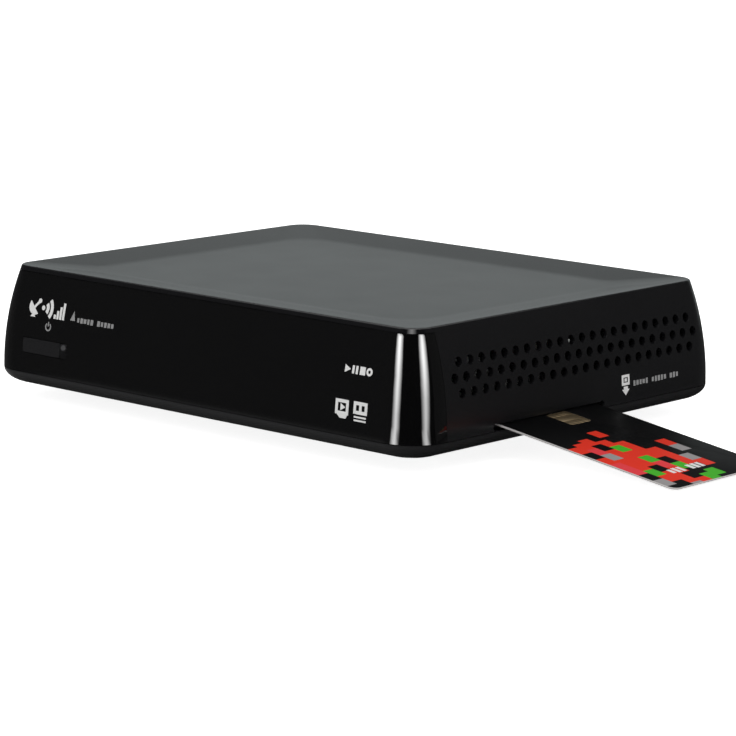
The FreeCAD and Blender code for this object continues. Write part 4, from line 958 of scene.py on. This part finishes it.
def card_finish():
    """A pattern of blocks that thickens towards one place, on the card's upper face only."""
    finish, tree, shader = new_finish("printed_card")
    where = surface(tree)
    flat = add(tree, "ShaderNodeMapping", {"Vector": where["Object"], "Location": CARD_PLACE,
                                           "Rotation": (0, CARD_TILT, 0)}, vector_type="TEXTURE")
    place = split(tree, flat)
    row = maths(tree, "FLOOR", maths(tree, "DIVIDE", place["Y"], CELL[1]))
    shift = maths(tree, "MULTIPLY", row, CELL_SHIFT)
    column = maths(tree, "FLOOR", maths(tree, "ADD", maths(tree, "DIVIDE", place["X"], CELL[0]), shift))
    cell = add(tree, "ShaderNodeCombineXYZ", {"X": column, "Y": row})
    colour_chance = add(tree, "ShaderNodeTexWhiteNoise", {"Vector": cell}, noise_dimensions="2D")
    other_cell = add(tree, "ShaderNodeCombineXYZ", {"X": row, "Y": column, "Z": 5.0})
    print_chance = add(tree, "ShaderNodeTexWhiteNoise", {"Vector": other_cell}, noise_dimensions="3D")
    steps = (maths(tree, "SUBTRACT", column, shift), row)
    offs = [maths(tree, "DIVIDE", maths(tree, "SUBTRACT", maths(tree, "MULTIPLY", step, size), middle),
                  PRINT_REACH) for step, size, middle in zip(steps, CELL, PRINT_MIDDLE)]
    squares = [maths(tree, "MULTIPLY", off, off) for off in offs]
    density = maths(tree, "SUBTRACT", PRINT_DENSEST, maths(tree, "ADD", *squares))
    printed = maths(tree, "LESS_THAN", print_chance, density)
    colours = add(tree, "ShaderNodeValToRGB", {"Fac": colour_chance})
    colours.color_ramp.interpolation = "CONSTANT"
    stops = colours.color_ramp.elements
    while len(stops) < len(PRINT_COLOURS):
        stops.new(0.5)
    for stop, (share, colour) in zip(stops, PRINT_COLOURS):
        stop.position = share
        stop.color = (*colour, 1)
    facing = add(tree, "ShaderNodeVectorMath", {0: where["Normal"], 1: CARD_NORMAL},
                 operation="DOT_PRODUCT").outputs["Value"]
    on_top = maths(tree, "GREATER_THAN", facing, CARD_TOP_FROM)
    haze = noise(tree, where["Object"], 160.0, 4.0)
    wired(tree, shader, {
        "Base Color": blend(tree, on_top, CARD_CORE, blend(tree, printed, CARD_BLACK, colours)),
        "Roughness": maths(tree, "MULTIPLY_ADD", haze, 0.08, 0.38),
        "Specular IOR Level": 0.04})
    return finish


eased("smart_card", 0.1 * mm, card_finish(), "laminate")
dashes_start = CARD_PLACE + CARD_WAY * CARD_DASH_ALONG - Vector((0, CARD_DASH_ACROSS, 0))
dashes_turn = Matrix((Vector((0, 1, 0)), CARD_NORMAL, CARD_WAY)).transposed().to_euler()
lay_dashes("card_dashes", white_ink, frame["nodes"]["smart_card"]["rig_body"], Pitch=2.7 * mm, Word=4,
           Size=(2.0 * mm, INK_THICK, 4.2 * mm), Count=8, Seed=2, Turn=dashes_turn,
           Place=dashes_start + CARD_NORMAL * (CARD_HALF + INK_PROUD))
worn_gold = skinned("worn_gold_plate", (0.38, 0.29, 0.17), 0.4, drift=0.1, spread=0.0, grain=900, relief=0,
                    metal=1.0)
eased("chip_contacts", 0.03 * mm, worn_gold, "plate")


# ---- Studio
# A plain pale floor that runs on to white, and a soft lamp overhead.
# Dark cloths and two light strips, which only gloss sees, give the black plastic its shape.

WHITE = (1, 1, 1, 1)
FLOOR_HALF = 4.0
FLOOR_GLOW = 0.88
SKY_LIGHT = 0.7


def grid(rows, columns):
    """The quads between rows of points."""
    return [(i * columns + j, i * columns + j + 1, (i + 1) * columns + j + 1, (i + 1) * columns + j)
            for i in range(rows - 1) for j in range(columns - 1)]


def pale_rays(tree):
    """One for the camera, gloss and glass, and nought for other rays."""
    path = tree.nodes.new("ShaderNodeLightPath").outputs
    first = maths(tree, "MAXIMUM", path["Is Camera Ray"], path["Is Glossy Ray"])
    return maths(tree, "MAXIMUM", first, path["Is Transmission Ray"])


def sheet(name, points, faces, finish):
    """A surface for the studio."""
    mesh = bpy.data.meshes.new(name)
    mesh.from_pydata(points, [], faces)
    mesh.materials.append(finish)
    return shown(name, mesh)


floor_finish, tree, shader = new_finish("white_floor")
wired(tree, shader, {"Base Color": (0.85, 0.85, 0.85, 1), "Roughness": 0.8, "Specular IOR Level": 0,
                     "Emission Color": WHITE,
                     "Emission Strength": maths(tree, "MULTIPLY", pale_rays(tree), FLOOR_GLOW)})
floor_corners = [(x * FLOOR_HALF, y * FLOOR_HALF, 0) for x, y in ((-1, -1), (1, -1), (1, 1), (-1, 1))]
sheet("floor", floor_corners, [(0, 1, 2, 3)], floor_finish)

world = bpy.data.worlds.new("studio")
bpy.context.scene.world = world
world.use_nodes = True
tree = world.node_tree
strength = maths(tree, "MULTIPLY_ADD", pale_rays(tree), 1 - SKY_LIGHT, SKY_LIGHT)
wired(tree, tree.nodes["Background"], {"Color": WHITE, "Strength": strength})


def make_glow(name, tint):
    """A light whose strength is given at each point of a card."""
    finish, tree, shader = new_finish(name)
    tree.nodes.remove(shader)
    strength = add(tree, "ShaderNodeAttribute", {}, attribute_name="glow").outputs["Fac"]
    glow = add(tree, "ShaderNodeEmission", {"Color": tint, "Strength": strength})
    wired(tree, tree.nodes["Material Output"], {"Surface": glow})
    return finish


plain_light = make_glow("plain_light", WHITE)
cool_light = make_glow("cool_light", (0.93, 1, 1, 1))


def gloss_only(name, points, faces, strengths, light=plain_light):
    """A card or a lamp's face that only gloss sees."""
    panel = sheet(name, points, faces, light)
    panel.data.attributes.new("glow", "FLOAT", "POINT").data.foreach_set("value", strengths)
    panel.visible_camera = False
    panel.visible_diffuse = False
    panel.visible_shadow = False
    panel.visible_transmission = False
    return panel


def spot(azimuth, reach, z=0):
    """A point from a reach and a height; azimuths are in degrees, 0 in front and 90 on the right."""
    return Vector((sin(radians(azimuth)) * reach, -cos(radians(azimuth)) * reach, z))


def round_card(name, radius, start, stop, low, high, strength, light=plain_light):
    """A curved upright card round the receiver."""
    azimuths = evenly(start, stop, 24)
    points = [spot(azimuth, radius, z) for azimuth in azimuths for z in (low, high)]
    gloss_only(name, points, grid(len(azimuths), 2), [strength] * len(points), light)


NEAR_CORNER = Vector((CORNER_X, -CORNER_Y, 0))
SECTOR_REACH = 1.2
TABLE_Z = 1.0 * mm


def table_sector(name, start, stop, strength):
    """A wedge of the table, seen from the near corner."""
    rim = [NEAR_CORNER + spot(azimuth, SECTOR_REACH, TABLE_Z) for azimuth in evenly(start, stop, 12)]
    points = [NEAR_CORNER + spot(0, 0, TABLE_Z), *rim]
    gloss_only(name, points, [(0, i, i + 1) for i in range(1, len(rim))], [strength] * len(points))


CLOTH_RADIUS, CLOTH_TOP, FAR_RADIUS, FAR_MIDDLE, FAR_TOP = 0.7, 0.6, 0.9, 0.46, 0.90
for name, strength, start, stop, table_start, table_stop in (
        ("front", 0.063, -110, -3, -110, -11), ("corner", 0.0, -3, 96, -11, 102),
        ("side", 0.07, 96, 170, 102, 200)):
    round_card(f"{name}_cloth", CLOTH_RADIUS, start, stop, 0, CLOTH_TOP, strength)
    table_sector(f"{name}_table", table_start, table_stop, strength)
round_card("pale_card", FAR_RADIUS, 170, 280, 0, FAR_MIDDLE, 0.405, cool_light)
round_card("high_cloth", FAR_RADIUS, 170, 280, FAR_MIDDLE, FAR_TOP, 0.02)

# How bright the table is round the foot of the case, at distances in millimetres out from its widest line.
UNDER_GLOW = ((-14, 0.09), (-12, 0.035), (-8, 0.033), (-5, 0.06), (0, 0.125), (4, 0.20), (9, 0.28),
              (21, 0.27), (37, 0.19), (41, 0.12), (45, 0.078), (50, 0.063))
UNDER_Z = 1.5 * mm
SIDE_SHARE = 0.32               # how much of it the right side gets
SIDE_END_Y = 0.3


def under_band():
    """A paler band of the table round the foot of the case, which its under-curve reflects."""
    places = [(-CORNER_X, -CORNER_Y, turn) for turn in evenly(-90, 0, 6)]
    places += [(CORNER_X, -CORNER_Y, turn) for turn in evenly(0, 90, 6)] + [(CORNER_X, SIDE_END_Y, 90)]
    points, strengths = [], []
    for x, y, turn in places:
        share = 1 + (SIDE_SHARE - 1) * max(turn, 0) / 90
        for off, strength in UNDER_GLOW:
            points.append(Vector((x, y, UNDER_Z)) + spot(turn, WIDEST_REACH + off * mm))
            strengths.append(strength * share)
    gloss_only("under_band", points, grid(len(places), len(UNDER_GLOW)), strengths)


under_band()

# Each row of a strip or of the small lamp: its distance from the corner, the azimuth and height of its left
# end and of its right end, and its strength. Distances and heights are in millimetres.
LEFT_STRIP = ((160, -33, 111, -7, 125.5, 0), (160, -31.5, 105.5, -4.5, 120, 26),
              (160, -25.6, 97.3, -0.7, 108.8, 26), (160, -19.3, 83.4, 4.1, 91.8, 24),
              (160, -13, 62.9, 7.7, 68.3, 20), (160, -9.9, 34.7, 9.2, 37.3, 17),
              (160, -9.3, 16.4, 8.8, 19, 14.5), (160, -9.5, 2, 8.8, 2, 14.5),
              (58, -9.6, 2, 9.3, 2, 14.5), (48, -9.6, 2, 9.3, 2, 0))
RIGHT_STRIP = ((160, 70, 135, 92, 125.5, 0), (160, 68, 128, 93.5, 118.3, 22),
               (160, 66.5, 113.3, 93.2, 105.3, 24), (160, 66.4, 94.4, 91.5, 88.1, 24),
               (160, 66.9, 69.5, 90.1, 65.2, 20), (160, 66.7, 56.9, 89.2, 52.4, 17),
               (160, 67.4, 38.8, 88, 36.3, 13.5), (160, 68.3, 2, 86, 2, 11.7),
               (58, 68, 2, 85.5, 2, 11.7), (48, 68, 2, 85.5, 2, 0))
TIP_LAMP = ((560, 15, 250, 54, 250, 4.1), (560, 15, 386, 54, 386, 4.1), (560, 15, 560, 54, 560, 0))
SOFT_EDGES = ((-0.14, 0), (0.43, 1), (0.57, 1), (1.14, 0))      # places across, and shares of the strength


def light_strip(name, rows, *pieces):
    """A lamp with soft sides by the near corner, which only the given pieces see."""
    points, strengths = [], []
    for off, left, left_z, right, right_z, strength in rows:
        for share, part in SOFT_EDGES:
            azimuth, z = left + (right - left) * share, left_z + (right_z - left_z) * share
            points.append(NEAR_CORNER + spot(azimuth, off * mm, z * mm))
            strengths.append(strength * part)
    lit = bpy.data.collections.new(f"{name}_lights")
    for piece in pieces:
        lit.objects.link(piece)
    strip = gloss_only(name, points, grid(len(rows), len(SOFT_EDGES)), strengths)
    strip.light_linking.receiver_collection = lit


light_strip("left_strip", LEFT_STRIP, gloss_front, standby_key, key_window)
light_strip("right_strip", RIGHT_STRIP, gloss_front, standby_key, key_window)
light_strip("tip_lamp", TIP_LAMP, cover)

LAMP_PLACE = Vector((0.2, -0.3, 1.0))
lamp = bpy.data.lights.new("overhead", "AREA")
lamp.energy = 3
lamp.size = 0.8
lamp_object = shown("overhead", lamp)
lamp_object.location = LAMP_PLACE
lamp_object.rotation_euler = (-LAMP_PLACE).to_track_quat("-Z", "Y").to_euler()


# ---- Camera
# A long lens, a little above the table and off the near corner.

AZIMUTH, ELEVATION, ROLL = radians(42.15), radians(10.64), radians(0.66)
DISTANCE = 1.22199
AIM = Vector((2.82, 5.855, 13.03)) * mm
camera = bpy.data.cameras.new("camera")
camera.sensor_width = 36
camera.lens = 155.80
viewer = shown("camera", camera)
aimed = Matrix.Translation(AIM) @ Matrix.Rotation(AZIMUTH, 4, "Z")
tipped = Matrix.Rotation(radians(90) - ELEVATION, 4, "X") @ Matrix.Rotation(ROLL, 4, "Z")
viewer.matrix_world = aimed @ tipped @ Matrix.Translation((0, 0, DISTANCE))
bpy.context.scene.camera = viewer
bpy.context.scene.view_settings.view_transform = "Standard"
